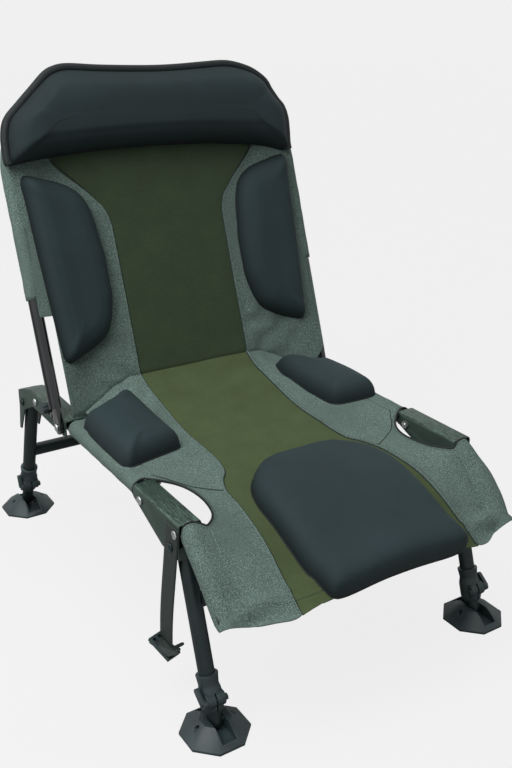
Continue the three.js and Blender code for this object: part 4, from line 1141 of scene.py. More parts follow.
def seat_folds(x, y):
    """Creases that the cloth keeps: pulls beside the hip pads, slack at the rear and ripples at the front"""
    beside_pads = between(abs(x), 118, 132, 190, 232) * between(y, 20, 110, 168, 192)
    run = (abs(x) - 120) * 0.75 + (y - 120) * 0.55
    pulls = math.sin(run / 5.6 + drift(x, y, (40, 40), 0) * 2.5) * 1.7 * beside_pads
    rear_middle = (1 - smoothstep(abs(x), 60, 112)) * between(y, 20, 70, 150, 185)
    slack = math.sin(y / 9 + drift(x, y, (60, 50), 5) * 3) * 1.3 * rear_middle
    front_sides = smoothstep(-y, 250, 330) * between(abs(x), 150, 175, 222, 236)
    ripple = math.sin(x / 8.5 + drift(x, y, (50, 70), 8) * 2) * 0.9 * front_sides
    return drift(x, y, (85, 85), 3.1) * 1.6 + pulls + slack + ripple


def rail_state(y):
    """Height and slope of the rail's centre line"""
    if y >= BEND_Y:
        return RAIL_HEIGHT, 0
    bend_end = BEND_Y - BEND_RADIUS * math.sin(RAIL_ANGLE)
    if y >= bend_end:
        angle = math.asin((BEND_Y - y) / BEND_RADIUS)
        return RAIL_HEIGHT - BEND_RADIUS * (1 - math.cos(angle)), angle
    return RAIL_HEIGHT - BEND_RADIUS * (1 - math.cos(RAIL_ANGLE)) - (bend_end - y), RAIL_ANGLE


SLEEVE_START = math.radians(112)
SLEEVE_END = math.radians(-122)
SLEEVE_LEAD_SHARE = 0.18
SLEEVE_LAST_SHARE = 0.82
SLEEVE_ROUND_SHARE = 0.64
SLEEVE_FOLD_SHARE = 0.46
SLEEVE_RISE_SHARE = 0.6
SLEEVE_UNDER = 3.6
SLEEVE_CLOSED = 3.9
SLEEVE_END_LIFT = 6
SLEEVE_END_WIDTH = 4
FRONT_RISE = 7
BRACKET_RISE = 4.5
RIGHT_FULLNESS = 14


def sleeve_place(side, run, y):
    """A place on the sleeve, whose front end is sewn flat: its underside meets its top at the hem"""
    spot = open_sleeve(side, run, y)
    closed = smoothstep(-y, 363, 373)
    if closed == 0:
        return spot
    if run > SLEEVE_FOLD_SHARE:
        run = SLEEVE_FOLD_SHARE * (1 - run) / (1 - SLEEVE_FOLD_SHARE)
        spot = spot.lerp(open_sleeve(side, run, y) + Vector((0, 0.7, -0.7)) * SLEEVE_CLOSED, closed)
    pulled = Vector((side * SLEEVE_END_WIDTH, 0, SLEEVE_END_LIFT)) * closed
    return spot + pulled * (run / SLEEVE_FOLD_SHARE)


def open_sleeve(side, run, y):
    """A place on the open sleeve: run goes from the top seam, round the rail, to the seam underneath"""
    centre_y = y
    for _ in range(5):
        centre_z, tilt = rail_state(centre_y)
        centre_y = y + SLEEVE_RADIUS * math.sin(tilt)
    centre_z, tilt = rail_state(centre_y)
    up = Vector((0, -math.sin(tilt), math.cos(tilt)))
    centre = Vector((side * RAIL_HALF, centre_y, centre_z))
    seam = Vector((side * SLEEVE_SEAM, y, seat_top(SLEEVE_SEAM, y)))
    under = seam - Vector((0, 0, SLEEVE_UNDER))

    def round_rail(angle):
        outwards = Vector((side * math.cos(angle) * SLEEVE_RADIUS, 0, 0))
        return centre + outwards + up * math.sin(angle) * SLEEVE_RADIUS

    angle = lerp(SLEEVE_START, SLEEVE_END, (run - SLEEVE_LEAD_SHARE) / SLEEVE_ROUND_SHARE)
    if run < SLEEVE_LEAD_SHARE:
        spot = seam.lerp(round_rail(SLEEVE_START), run / SLEEVE_LEAD_SHARE)
    elif run > SLEEVE_LAST_SHARE:
        spot = round_rail(SLEEVE_END).lerp(under, (run - SLEEVE_LAST_SHARE) / SLEEVE_LEAD_SHARE)
    else:
        spot = round_rail(angle)
    pucker = noise.noise(Vector((run * 6, y / 26, side * 4))) * 0.7
    front = smoothstep(-y, 262, 320)
    over_bracket = between(-y, 200, 240, 258, 292)
    rise = (FRONT_RISE * front + BRACKET_RISE * over_bracket) * math.sin(
        math.pi * min(run / SLEEVE_RISE_SHARE, 1)) if run < SLEEVE_RISE_SHARE else 0
    outward_share = max(math.cos(min(max(angle, SLEEVE_END), SLEEVE_START)), 0)
    fullness = RIGHT_FULLNESS * front * (1 - 0.75 * smoothstep(-y, 335, 376)) if side > 0 else 0
    return spot + (spot - centre).normalized() * pucker + Vector((side * fullness * outward_share, 0, rise))


def seat_skin(kind, across, side, y):
    """A place on the seat's cloth, in metres"""
    if kind == "sleeve":
        return place(*sleeve_place(side, across, y))
    x = side * panel_place(kind, across, spline(SEAT_PANEL, y), SLEEVE_SEAM)
    return place(x, y, seat_top(x, y) + seam_step(kind, across))


def panel_place(kind, across, panel, edge):
    """How far across a place lies, on the green panel or between its seam and the cloth's edge"""
    if kind == "green":
        return across * (panel - SEAM_GAP)
    return lerp(panel + SEAM_GAP, edge, across)


def seam_step(kind, across):
    """The green panel sinks towards its seam, and the grey cloth stands up beside it"""
    if kind == "green":
        return -GREEN_SINK * smoothstep(across, 0.9, 1)
    return GREY_RISE * (1 - smoothstep(across, 0, 0.09))


def evenly(count, start=0.0, end=1.0):
    """Evenly spaced numbers, one more than the count of steps between them"""
    return [lerp(start, end, index / count) for index in range(count + 1)]


def skin_columns(cell):
    """Columns from the left under-seam to the right one, as (kind, place across, side)"""
    half = [("green", share, 1) for share in evenly(max(int(GREEN_HALF / cell), 8))]
    half += [("grey", share ** 1.35, 1) for share in evenly(max(int(GREY_WIDTH / cell), 8))]
    half += [("sleeve", share, 1) for share in evenly(max(int(SLEEVE_ROUND / cell), 12))[1:]]
    return [(kind, share, -1) for kind, share, _ in reversed(half[1:])] + half


def skin_mesh(columns, rows, spot, skip=None):
    """Bends a bmesh grid onto a surface, and marks the green panel's faces"""
    mesh = bmesh.new()
    wide, long = len(columns), len(rows)
    bmesh.ops.create_grid(mesh, x_segments=wide - 1, y_segments=long - 1, size=1)
    mesh.verts.ensure_lookup_table()
    order = sorted(mesh.verts, key=lambda vert: (round(vert.co.y, 5), vert.co.x))
    for number, vert in enumerate(order):
        vert.co = spot(columns[number % wide], rows[number // wide])
        vert.index = number
    unwanted = []
    for face in mesh.faces:
        kinds = [columns[vert.index % wide][0] for vert in face.verts]
        face.material_index = 1 if all(kind == "green" for kind in kinds) else 0
        if skip and skip([(columns[vert.index % wide], rows[vert.index // wide]) for vert in face.verts]):
            unwanted.append(face)
    if unwanted:
        bmesh.ops.delete(mesh, geom=unwanted, context="FACES")
    return mesh


def face_way(mesh, way):
    """Turns the cloth's faces so that most of them look one way"""
    bmesh.ops.recalc_face_normals(mesh, faces=list(mesh.faces))
    if sum(face.normal.dot(way) for face in mesh.faces) < 0:
        bmesh.ops.reverse_faces(mesh, faces=list(mesh.faces))


def keep_rest(made):
    """Stores where each point lies at rest, so the weave stays on the cloth as it bends"""
    layer = made.data.attributes.new("rest", "FLOAT_VECTOR", "POINT")
    spots = [0.0] * (len(made.data.vertices) * 3)
    made.data.vertices.foreach_get("co", spots)
    layer.data.foreach_set("vector", spots)


THREAD_SIDES = 6
STITCH_SHARE = 0.34
STITCH_OFFSETS = (3.2, 6.4)
STITCH_RISE = 0.7
SEAM_RADIUS = 0.9 * MM
CROSS_SEAM_RADIUS = 0.7 * MM
PALE_RADIUS = 0.85 * MM
PALE_SHIFT = 2.0
PALE_RISE = 1.5
BINDING_RADIUS = 1.7 * MM
HEM_STEPS = 6
HEM_STITCH_HALF = 232
HEM_STITCH_Y = 14
SLEEVE_STITCHES = ((-100, 150), (-364, -272))
FRONT_SEAM_Y = -268
CUTTER_LOW = 180
CUTTER_HEIGHT = 220 * MM
TUCK = Vector((0, 5, -9)) * MM


def crossing(made):
    """Bakes a piece's placement into its mesh; nothing bends it across the crease"""
    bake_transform(made)


def cloth_piece(name, mesh, finish_name, body=None):
    """A smaller piece of cloth or thread; without a body of its own its placement is baked into its mesh"""
    made = new_piece(name, mesh, [finish(finish_name)])
    keep_rest(made)
    finish_piece(made, body)
    if not body:
        crossing(made)


def threads(*groups, sides=THREAD_SIDES):
    """Round threads: each group holds a radius and lines of that thickness"""
    mesh = bmesh.new()
    for radius, lines in groups:
        for line in lines:
            sweep(mesh, line, radius, sides)
    outward(mesh)
    return mesh


def stitch_row(mesh, points, sizes):
    """Lays short stitches along a line of close points"""
    pitch = sizes.stitch_pitch
    size = Matrix.Diagonal((sizes.stitch_radius, sizes.stitch_radius, pitch * STITCH_SHARE, 1))
    travelled = 0.0
    wanted = pitch * 0.5
    for before, after in zip(points, points[1:]):
        span = (after - before).length
        while travelled + span >= wanted and span > 0:
            centre = before.lerp(after, (wanted - travelled) / span)
            turn = Z_AXIS.rotation_difference(after - before).to_matrix().to_4x4()
            bmesh.ops.create_icosphere(
                mesh, subdivisions=1, radius=1, matrix=Matrix.Translation(centre) @ turn @ size)
            wanted += pitch
        travelled += span


def stitches(name, lines, sizes):
    mesh = bmesh.new()
    for line in lines:
        stitch_row(mesh, line, sizes)
    cloth_piece(name, mesh, "grey_thread")


def curve_spot(four, share):
    """A point of the smooth curve through the middle two of four points"""
    first, start, end, last = four
    square, cube = share * share, share ** 3
    return 0.5 * (
        2 * start + (end - first) * share + (2 * first - 5 * start + 4 * end - last) * square
        + (3 * start - first - 3 * end + last) * cube)


def curve_through(spots, steps):
    """The smooth curve from the second spot up to the last but one, which is left out"""
    return [
        curve_spot(spots[index:index + 4], share)
        for index in range(len(spots) - 3) for share in evenly(steps)[:-1]]


def on_seat(x, y, rise, side=1):
    """A place straight above the seat's cloth; for the left side, at the right side's height"""
    return place(side * x, y, seat_top(x, y) + rise)


def hem_stations(x):
    """The hem's way from the cloth's front edge to under the front bar, as (y, height)"""
    centre_y, centre_z = bar_centre(x)
    front_y = seat_ends(x)[1]
    front_z = seat_top(x, front_y)
    inner_y = centre_y + 24
    return (
        (front_y + 1.2, front_z - 2.6),
        (lerp(front_y, centre_y - 9, 0.6), lerp(front_z - 4, centre_z - 12, 0.6)),
        (centre_y - 6, centre_z - 14.4),
        (centre_y + 3, centre_z - 15),
        (centre_y + 12, centre_z - 10),
        (inner_y, seat_top(x, inner_y) - 3.4),
    )


class CHAIR_OT_seat_cover(ChairPiece, Operator):
    """Makes the seat's sling with its sleeves, cut-outs, bindings and stitching"""

    bl_idname = "chair.seat_cover"
    bl_label = "Seat cover"

    def execute(self, context):
        columns, rows, sleeve_start = self.grid()

        def spot(column, share):
            kind, across, side = column
            places = {"green": across * GREEN_HALF, "grey": lerp(GREEN_HALF + 1, SLEEVE_SEAM, across)}
            start, end = seat_ends(places.get(kind, SLEEVE_SEAM))
            return seat_skin(kind, across, side, lerp(start, end, share))

        def behind_sleeve(corners):
            return (any(column[0] == "sleeve" and column[1] > 0 for column, _ in corners)
                    and all(share <= sleeve_start + 1e-6 for _, share in corners))

        mesh = skin_mesh(columns, rows, spot, behind_sleeve)
        self.tuck_crease(mesh)
        self.fold_hem(mesh)
        bmesh.ops.remove_doubles(mesh, verts=list(mesh.verts), dist=2e-5)
        face_way(mesh, Z_AXIS)
        made = new_piece("seat_sling", mesh, [finish("grey_cloth"), finish("green_cloth")], CLOTH_SHARP)
        thickened(made, self.sizes.cloth_thickness)
        for _, side in SIDES:
            combined(made, self.cutter(side), "DIFFERENCE")
        made.data.set_sharp_from_angle(angle=CLOTH_SHARP)
        keep_rest(made)
        finish_piece(made, None, ["seat_cover"])
        crossing(made)
        for name, side in SIDES:
            binding = threads((BINDING_RADIUS, [cutout_line(side, 0.6)]), sides=10)
            cloth_piece(f"cutout_binding_{name}", binding, "binding", "seat")
        self.stitching()
        self.seams()
        return {"FINISHED"}

    def grid(self):
        """The cloth's columns and rows, and the row at which the sleeves start"""
        cell = self.sizes.cloth_cell / MM
        rear, front = seat_ends(0)
        rows = evenly(int((rear - front) / cell))
        rows[-3:] = evenly(6, rows[-4], 1)[1:]
        sleeve_start = seat_share(SLEEVE_SEAM, SLEEVE_REAR_Y)
        nearest = min(range(len(rows)), key=lambda index: abs(rows[index] - sleeve_start))
        rows[nearest] = sleeve_start
        return skin_columns(cell), rows, sleeve_start

    @staticmethod
    def tuck_crease(mesh):
        """Carries the cloth's rear edge down behind the crease"""
        def at_crease(vert):
            x = vert.co.x / MM
            return abs(vert.co.y - SHIFT - seat_ends(x)[0] * MM) < 0.4 * MM and abs(x) < SLEEVE_SEAM

        edges = [edge for edge in boundary_loop(mesh) if all(at_crease(vert) for vert in edge.verts)]
        verts, _ = grow_edges(mesh, edges)
        bmesh.ops.translate(mesh, verts=verts, vec=TUCK)

    @staticmethod
    def fold_hem(mesh):
        """Turns the front edge under the front bar"""
        def at_hem(vert):
            x = vert.co.x / MM
            return abs(x) <= SLEEVE_SEAM + 0.5 and abs(vert.co.y - SHIFT - seat_ends(x)[1] * MM) < 0.5 * MM

        edges = [edge for edge in boundary_loop(mesh) if all(at_hem(vert) for vert in edge.verts)]
        for step in range(HEM_STEPS):
            verts, edges = grow_edges(mesh, edges)
            for vert in verts:
                x = vert.co.x / MM
                vert.co = place(x, *hem_stations(x)[step])

    @staticmethod
    def cutter(side):
        """A block with the outline of a cut-out"""
        mesh = bmesh.new()
        outline = [place(side * x, y, CUTTER_LOW) for x, y in CUTOUT]
        smooth = [outline[0]] + curve_through(outline, 4) + outline[-2:]
        face = mesh.faces.new([mesh.verts.new(spot) for spot in smooth])
        grow_face(mesh, face, (0, 0, CUTTER_HEIGHT))
        outward(mesh)
        return new_piece("cutter", mesh, [])

    def stitching(self):
        """Rows beside the panel, along the sleeves' seams, round the cut-outs and along the hem"""
        lines = []
        for _, side in SIDES:
            for offset in STITCH_OFFSETS:
                lines.append([
                    on_seat(side * (spline(SEAT_PANEL, y) + offset), y, STITCH_RISE)
                    for y in evenly(419, CREASE_Y - 2, HEM_Y + 4)])
            for front, rear in SLEEVE_STITCHES:
                lines.append([on_seat(SLEEVE_SEAM + 2, y, 0.8, side) for y in evenly(199, rear, front)])
            lines.append(cutout_line(side, 5.5, rise=STITCH_RISE))
        lines.append([
            on_seat(x, seat_ends(x)[1] + HEM_STITCH_Y, STITCH_RISE)
            for x in evenly(399, -HEM_STITCH_HALF, HEM_STITCH_HALF)])
        stitches("seat_stitches", lines, self.sizes)

    @staticmethod
    def seams():
        """Dark threads along the panel's edge and across the side panels, and pale ones beside them"""
        dark = []
        pale = []
        for _, side in SIDES:
            edge = [
                on_seat(side * spline(SEAT_PANEL, y), y, 0.1)
                for y in evenly(159, CREASE_Y - 2, HEM_Y + 1)]
            pale.append([spot + Vector((side * PALE_SHIFT, 0, PALE_RISE)) * MM for spot in edge])
            pale.append([
                on_seat(SLEEVE_SEAM, y, 1.1, side) for y in evenly(59, FRONT_SEAM_Y, EDGE_HEM_Y - 1)])
            cross = [on_seat(x, y, 0.4, side) for x, y in CROSS_SEAM]
            cross = curve_through([cross[0]] + cross + [cross[-1]], 8)
            dark += [(SEAM_RADIUS, [edge]), (CROSS_SEAM_RADIUS, [cross])]
        cloth_piece("seat_seams", threads(*dark), "binding")
        cloth_piece("seat_pale_threads", threads((PALE_RADIUS, pale)), "pale_thread")


def along_cutout(inset):
    """The outline of the right cut-out, moved into the cloth"""
    spots = [Vector((x, y, 0)) for x, y in CUTOUT if x < CUTOUT_OUTER]
    smooth = [spots[0]] + curve_through(spots, 6) + spots[-2:]
    moved = []
    for index, spot in enumerate(smooth):
        along = smooth[min(index + 1, len(smooth) - 1)] - smooth[max(index - 1, 0)]
        inward = Vector((along.y, -along.x, 0)).normalized() * inset
        if (spot + inward).x > spot.x and abs(along.y) > abs(along.x):
            inward = -inward
        if abs(along.y) <= abs(along.x):
            inward = Vector((0, inset if spot.y > CUTOUT_MIDDLE_Y else -inset, 0))
        moved.append(spot + inward)
    return moved


def cutout_line(side, inset, rise=0.2):
    """The way round a cut-out: on the cloth, and at both ends round the sleeve beside it"""
    moved = along_cutout(inset)
    line = []
    for spot in moved:
        if spot.x <= SLEEVE_SEAM:
            line.append(on_seat(spot.x, spot.y, rise, side))
        else:
            run = SLEEVE_LEAD_SHARE * min((spot.x - SLEEVE_SEAM) / SLEEVE_LEAD, 1)
            found = sleeve_place(side, run, spot.y)
            line.append(place(found.x, found.y, found.z + rise))
    rear, front = [
        [place(*sleeve_place(side, run, spot.y)) for run in evenly(20, 0.19, 0.8)]
        for spot in (moved[0], moved[-1])]
    return list(reversed(rear)) + line + front


# The back's cloth: places are (across, up the posts) in millimetres, in the backrest's own frame

BACK_FORWARD = 13.6
BACK_START = 62
BACK_SLEEVE_START = 226
BACK_BARE_HALF = 262
BACK_COVERED = (266, 289)
BACK_TUCK = 20
BACK_SLEEVE_RADIUS = 13.7 * MM
BACK_SLEEVE_STEP = 9 * MM
BACK_SLEEVE_REACH = 60 * MM
BACK_SLEEVE_RUMPLE = 0.9 * MM
BACK_PANEL_ENDS = (66, 462)
BACK_STITCH_X = 266


def back_half(along, side):
    """Half of the cloth's width; on the right side it covers the bare post's lower end too"""
    straight = BACK_TOP - BACK_CORNER
    if along < BACK_SLEEVE_START:
        return BACK_BARE_HALF if side < 0 else lerp(*BACK_COVERED, smoothstep(along, 60, 92))
    if along <= straight:
        return BACK_HALF
    rise = min(along - straight, BACK_CORNER)
    return BACK_HALF - BACK_CORNER + math.sqrt(max(BACK_CORNER ** 2 - rise * rise, 0))


def back_forward(x, along):
    sideways = smoothstep(abs(x), 200, 281)
    upwards = smoothstep(along, BACK_TOP - 60, BACK_TOP - 5)
    return BACK_FORWARD * max(sideways, upwards)


def back_folds(x, along):
    """Creases that the back's cloth keeps: pulls at its lower corners"""
    corners = between(along, 30, 62, 110, 190) * between(abs(x), 119, 135, 225, 255)
    run = (abs(x) - 120) * 0.5 - (along - 90) * 0.8
    pulls = math.sin(run / 6.4 + drift(x, along, (38, 38), 2) * 3) * 2.0 * corners
    return drift(x, along, (90, 90), 7.7) * 1.4 + pulls


def back_spot(x, along, out=0.0):
    return BACK @ (Vector((x, -back_forward(x, along) - back_folds(x, along) - out, along)) * MM)


class CHAIR_OT_back_cover(ChairPiece, Operator):
    """Makes the back's sling with its sleeve and stitching"""

    bl_idname = "chair.back_cover"
    bl_label = "Back cover"

    def execute(self, context):
        columns, rows = self.grid()

        def spot(column, row):
            kind, across, side = column
            along = max(row, 0) + BACK_START
            panel = min(spline(BACK_PANEL, along), back_half(along, side) - 6)
            x = side * panel_place(kind, across, panel, back_half(along, side))
            bottom = crease_height(x) / math.cos(BACK_LEAN) + 1
            run = bottom + (along - BACK_START) * (BACK_TOP - bottom) / (BACK_TOP - BACK_START)
            found = back_spot(x, run, seam_step(kind, across))
            if row < 0:
                found += BACK.to_3x3() @ Vector((0, TUCK.y, row * MM))
            return found

        mesh = skin_mesh(columns, rows, spot)
        face_way(mesh, -Y_AXIS)
        made = new_piece("back_sling", mesh, [finish("grey_cloth"), finish("back_green_cloth")], CLOTH_SHARP)
        thickened(made, self.sizes.cloth_thickness)
        made.data.set_sharp_from_angle(angle=CLOTH_SHARP)
        keep_rest(made)
        finish_piece(made, None, ["back_cover"])
        crossing(made)
        self.sleeve()
        self.stitching()
        return {"FINISHED"}

    def grid(self):
        """The cloth's columns and its rows, with a close pair where the sleeves start"""
        cell = self.sizes.cloth_cell / MM
        length = BACK_TOP - BACK_START
        columns = [column for column in skin_columns(cell) if column[0] != "sleeve"]
        rows = [share * BACK_TUCK - BACK_TUCK for share in evenly(3)][:-1]
        rows += [share * length for share in evenly(int(length / cell))]
        start = BACK_SLEEVE_START - BACK_START
        step = min(range(len(rows)), key=lambda index: abs(rows[index] - start))
        rows[step:step + 2] = [start - 0.6, start + 0.6]
        return columns, rows

    def sleeve(self):
        """The tunnel round the posts and the top bar"""
        left = post_path(-1, BACK_SLEEVE_START * MM, reach=-BACK_SLEEVE_REACH)
        right = post_path(1, BACK_SLEEVE_START * MM, reach=BACK_SLEEVE_REACH)
        run = left + [Vector((0, 0, POST_LENGTH))] + list(reversed(right))
        path = []
        for before, after in zip(run, run[1:]):
            pieces = max(int((after - before).length / BACK_SLEEVE_STEP), 1)
            path += [before.lerp(after, index / pieces) for index in range(pieces)]
        path.append(run[-1])
        mesh = bmesh.new()
        sweep(mesh, [BACK @ spot for spot in path], BACK_SLEEVE_RADIUS, 32, caps=False)
        for vert in mesh.verts:
            vert.co += vert.normal * noise.noise(vert.co * 38) * BACK_SLEEVE_RUMPLE
        bmesh.ops.recalc_face_normals(mesh, faces=list(mesh.faces))
        made = new_piece("back_sleeve", mesh, [finish("grey_cloth")], CLOTH_SHARP)
        thickened(made, self.sizes.cloth_thickness)
        keep_rest(made)
        finish_piece(made, "backrest")

    def stitching(self):
        """Rows beside the panel and along the posts, and the dark thread on the panel's edge"""
        lines = []
        seams = []
        for _, side in SIDES:
            for offset in STITCH_OFFSETS:
                lines.append([
                    back_spot(side * (spline(BACK_PANEL, along) + offset), along, 0.8)
                    for along in evenly(359, *BACK_PANEL_ENDS)])
            lines.append([
                back_spot(side * BACK_STITCH_X, along, 0.6)
                for along in evenly(359, BACK_SLEEVE_START + 2, BACK_TOP - BACK_CORNER + 20)])
            lines.append([
                back_spot(side * (back_half(along, side) - 5), along, 0.6)
                for along in evenly(199, 30, BACK_SLEEVE_START - 4)])
            seams.append([
                back_spot(side * spline(BACK_PANEL, along), along, 0.1)
                for along in evenly(159, *BACK_PANEL_ENDS)])
        stitches("back_stitches", lines, self.sizes)
        cloth_piece("back_seams", threads((SEAM_RADIUS, seams)), "binding")


# Pads: an outline on a surface, raised to a crown and swollen

PAD_SINK = 5
PAD_BED = 1
PAD_FOLLOW = 8
SLOPE_STEP = 4
THIGH_FOLD_Y = HEM_Y + 3
HELD_SHARE = 0.09
PAD_BASE_SHARES = (0.25, 0.5, 0.75, 0.92)
PAD_EDGE = (
    (0, 0.08), (0.3, 0.17), (1, 0.29), (2.4, 0.42), (4.6, 0.55), (7.6, 0.67), (11.4, 0.78), (16, 0.87),
    (21.5, 0.935), (28, 0.975),
)
PAD_TOP_SHARES = (0.9, 0.78, 0.65, 0.52, 0.39, 0.26, 0.13)
PAD_CROWN_SHARE = 0.05
PAD_HEIGHT = {"hip": 42, "thigh": 38, "back": 34, "head": 60}
PAD_SHARP = math.radians(70)
SWELL_LIMIT = 5 * MM
EVEN_ROUNDS = 90
PIPING_RISE = 0.6
PIPING_POINTS = 112
PIPING_RADIUS = 1.3 * MM
HEAD_BINDING_RADIUS = 8 * MM
HEAD_BINDING_OUT = 10


def flat_spots(corners):
    return [Vector((x, y, 0)) for x, y in corners]


def closed_curve(corners, count):
    """A smooth closed line through the corners, with evenly spaced points"""
    spots = flat_spots(corners)
    dense = curve_through([spots[-1]] + spots + spots[:2], 12)
    dense.append(dense[0])
    lengths = [0.0]
    for before, after in zip(dense, dense[1:]):
        lengths.append(lengths[-1] + (after - before).length)
    even = []
    at = 0
    for number in range(count):
        wanted = lengths[-1] * number / count
        while lengths[at + 1] < wanted:
            at += 1
        share = (wanted - lengths[at]) / (lengths[at + 1] - lengths[at])
        even.append(dense[at].lerp(dense[at + 1], share))
    return even


def spine(outline):
    """For each place of an outline, the nearest place on the middle line of its box"""
    low = Vector([min(spot[axis] for spot in outline) for axis in range(3)])
    high = Vector([max(spot[axis] for spot in outline) for axis in range(3)])
    middle = (low + high) / 2
    spare = (high - low) / 2
    reach = [max(spare.x - spare.y, 0) * 0.9, max(spare.y - spare.x, 0) * 0.9]
    targets = []
    for spot in outline:
        targets.append(Vector((
            middle.x + min(max(spot.x - middle.x, -reach[0]), reach[0]),
            middle.y + min(max(spot.y - middle.y, -reach[1]), reach[1]), 0)))
    return targets


def inset_stretch(outline, targets):
    """How much further a place must move towards the middle line to move a unit square to the edge"""
    count = len(outline)
    stretch = []
    for index, spot in enumerate(outline):
        along = outline[(index + 1) % count] - outline[index - 1]
        inward = Vector((-along.y, along.x, 0)).normalized()
        stretch.append(1 / max(abs(inward.dot((targets[index] - spot).normalized())), 0.45))
    for _ in range(4):
        stretch = [
            (stretch[index - 1] + stretch[index] * 2 + stretch[(index + 1) % count]) / 4
            for index in range(count)]
    return stretch


def pad_rings(corners, profile, count):
    """The pad's rings from the middle of its base, over its edge, to its crown"""
    outline = closed_curve(corners, count)
    targets = spine(outline)
    stretch = inset_stretch(outline, targets)

    def shrunk(ring, share):
        return [target.lerp(spot, share) for spot, target in zip(ring, targets)]

    rings = [(shrunk(outline, share), 0) for share in PAD_BASE_SHARES]
    rings.append((outline, 0))
    ring = outline
    for inset, rise in profile:
        ring = []
        for spot, target, wider in zip(outline, targets, stretch):
            way = target - spot
            ring.append(spot + way * min(inset * wider / way.length, 0.62))
        rings.append((ring, rise))
    rings += [(shrunk(ring, share), 1 + PAD_CROWN_SHARE * (1 - share ** 2)) for share in PAD_TOP_SHARES]
    return rings


def pad_mesh(corners, raised, height, profile=PAD_EDGE, count=150):
    """Extrudes an outline up and in, ring by ring, to a crown; raised gives a place and its rise"""
    mesh = bmesh.new()
    lift = mesh.verts.layers.float.new("lift")
    ring = bmesh.ops.create_circle(mesh, segments=count, radius=1)["verts"]
    edges = list({edge for vert in ring for edge in vert.link_edges})
    for number, (spots, rise) in enumerate(pad_rings(corners, profile, count)):
        if number:
            previous = ring
            fresh, edges = grow_edges(mesh, edges)
            fresh = set(fresh)
            ring = [next(edge.other_vert(vert) for edge in vert.link_edges if edge.other_vert(vert) in fresh)
                    for vert in previous]
        for vert, spot in zip(ring, spots):
            vert.co = raised(spot.x, spot.y, rise * height)
            vert[lift] = rise
        if number == 0:
            floor = mesh.faces.new(ring)
            bmesh.ops.poke(mesh, faces=[floor])
    cap = mesh.faces.new(ring)
    for vert in bmesh.ops.poke(mesh, faces=[cap])["verts"]:
        vert[lift] = 1
    bmesh.ops.recalc_face_normals(mesh, faces=list(mesh.faces))
    return mesh


def piping(name, body, corners, raised):
    """A dark seam round a pad where it meets the cloth"""
    path = [raised(spot.x, spot.y, PAD_SINK + PIPING_RISE) for spot in closed_curve(corners, PIPING_POINTS)]
    mesh = threads((PIPING_RADIUS, [path + [path[0]]]), sides=8)
    cloth_piece(f"{name}_piping", mesh, "binding", body)


def evened(data, swells, fixed):
    """Shares each point's swelling with its neighbours, so that the pad's top stays smooth"""
    near = [[number] for number in range(len(swells))]
    for edge in data.edges:
        first, second = edge.vertices
        near[first].append(second)
        near[second].append(first)
    for _ in range(EVEN_ROUNDS):
        swells = [
            0 if fixed[number] else sum(swells[other] for other in around) / len(around)
            for number, around in enumerate(near)]
    return swells


def inflate(made, sizes, fixed):
    """Fills a pad with air by cloth simulation, then evens and limits how far each point moves"""
    start = [vert.co.copy() for vert in made.data.vertices]
    normals = [vert.normal.copy() for vert in made.data.vertices]
    cloth = made.modifiers.new("cloth", "CLOTH")
    cloth.settings.quality = 6
    cloth.settings.mass = 0.2
    cloth.settings.tension_stiffness = 14
    cloth.settings.compression_stiffness = 14
    cloth.settings.shear_stiffness = 7
    cloth.settings.bending_stiffness = 2
    cloth.settings.use_pressure = True
    cloth.settings.uniform_pressure_force = sizes.pressure
    cloth.settings.vertex_group_mass = "held"
    cloth.settings.effector_weights.gravity = 0
    cloth.collision_settings.use_collision = False
    cloth.point_cache.frame_start = 1
    cloth.point_cache.frame_end = sizes.swell_frames
    scene = bpy.context.scene
    for number in range(1, sizes.swell_frames + 1):
        scene.frame_set(number)
    applied(made)
    scene.frame_set(1)
    swells = [(vert.co - rest).dot(normal) for vert, rest, normal in zip(made.data.vertices, start, normals)]
    even = evened(made.data, swells, fixed)
    for vert, rest, normal, swollen in zip(made.data.vertices, start, normals, even):
        vert.co = rest + normal * SWELL_LIMIT * math.tanh(swollen / SWELL_LIMIT)


def swell(made, sizes):
    """Swells a pad with its underside held, and smooths its top"""
    fixed = [item.value < HELD_SHARE for item in made.data.attributes["lift"].data]
    group = made.vertex_groups.new(name="held")
    group.add([number for number, still in enumerate(fixed) if still], 1, "REPLACE")
    inflate(made, sizes, fixed)
    relax = made.modifiers.new("relax", "SMOOTH")
    relax.factor = 0.5
    relax.iterations = 2
    relax.vertex_group = "held"
    relax.invert_vertex_group = True
    applied(made)
    made.vertex_groups.clear()
    made.data.polygons.foreach_set("use_smooth", [True] * len(made.data.polygons))
    made.data.set_sharp_from_angle(angle=PAD_SHARP)


def pad(name, mesh, finish_name, sizes):
    """A swollen pad that keeps its rest places"""
    made = new_piece(name, mesh, [finish(finish_name)], 0)
    swell(made, sizes)
    keep_rest(made)
    return made


def bedded(rise):
    """How far a pad's place stands off the cloth, and how much of the cloth's folds it follows"""
    return max(rise - PAD_SINK, -PAD_BED), 1 - smoothstep(rise, PAD_SINK, PAD_SINK + PAD_FOLLOW)


def seat_raised(x, y, rise):
    """A place over the seat's cloth, raised square to it"""
    off, follow = bedded(rise)
    slope_x = (seat_height(x + SLOPE_STEP, y) - seat_height(x - SLOPE_STEP, y)) / (2 * SLOPE_STEP)
    slope_y = (seat_height(x, y + SLOPE_STEP) - seat_height(x, y - SLOPE_STEP)) / (2 * SLOPE_STEP)
    normal = Vector((-slope_x, -slope_y, 1)).normalized()
    spot = Vector((x, y, lerp(seat_height(x, y), seat_top(x, y), follow))) + normal * off
    return place(*spot)


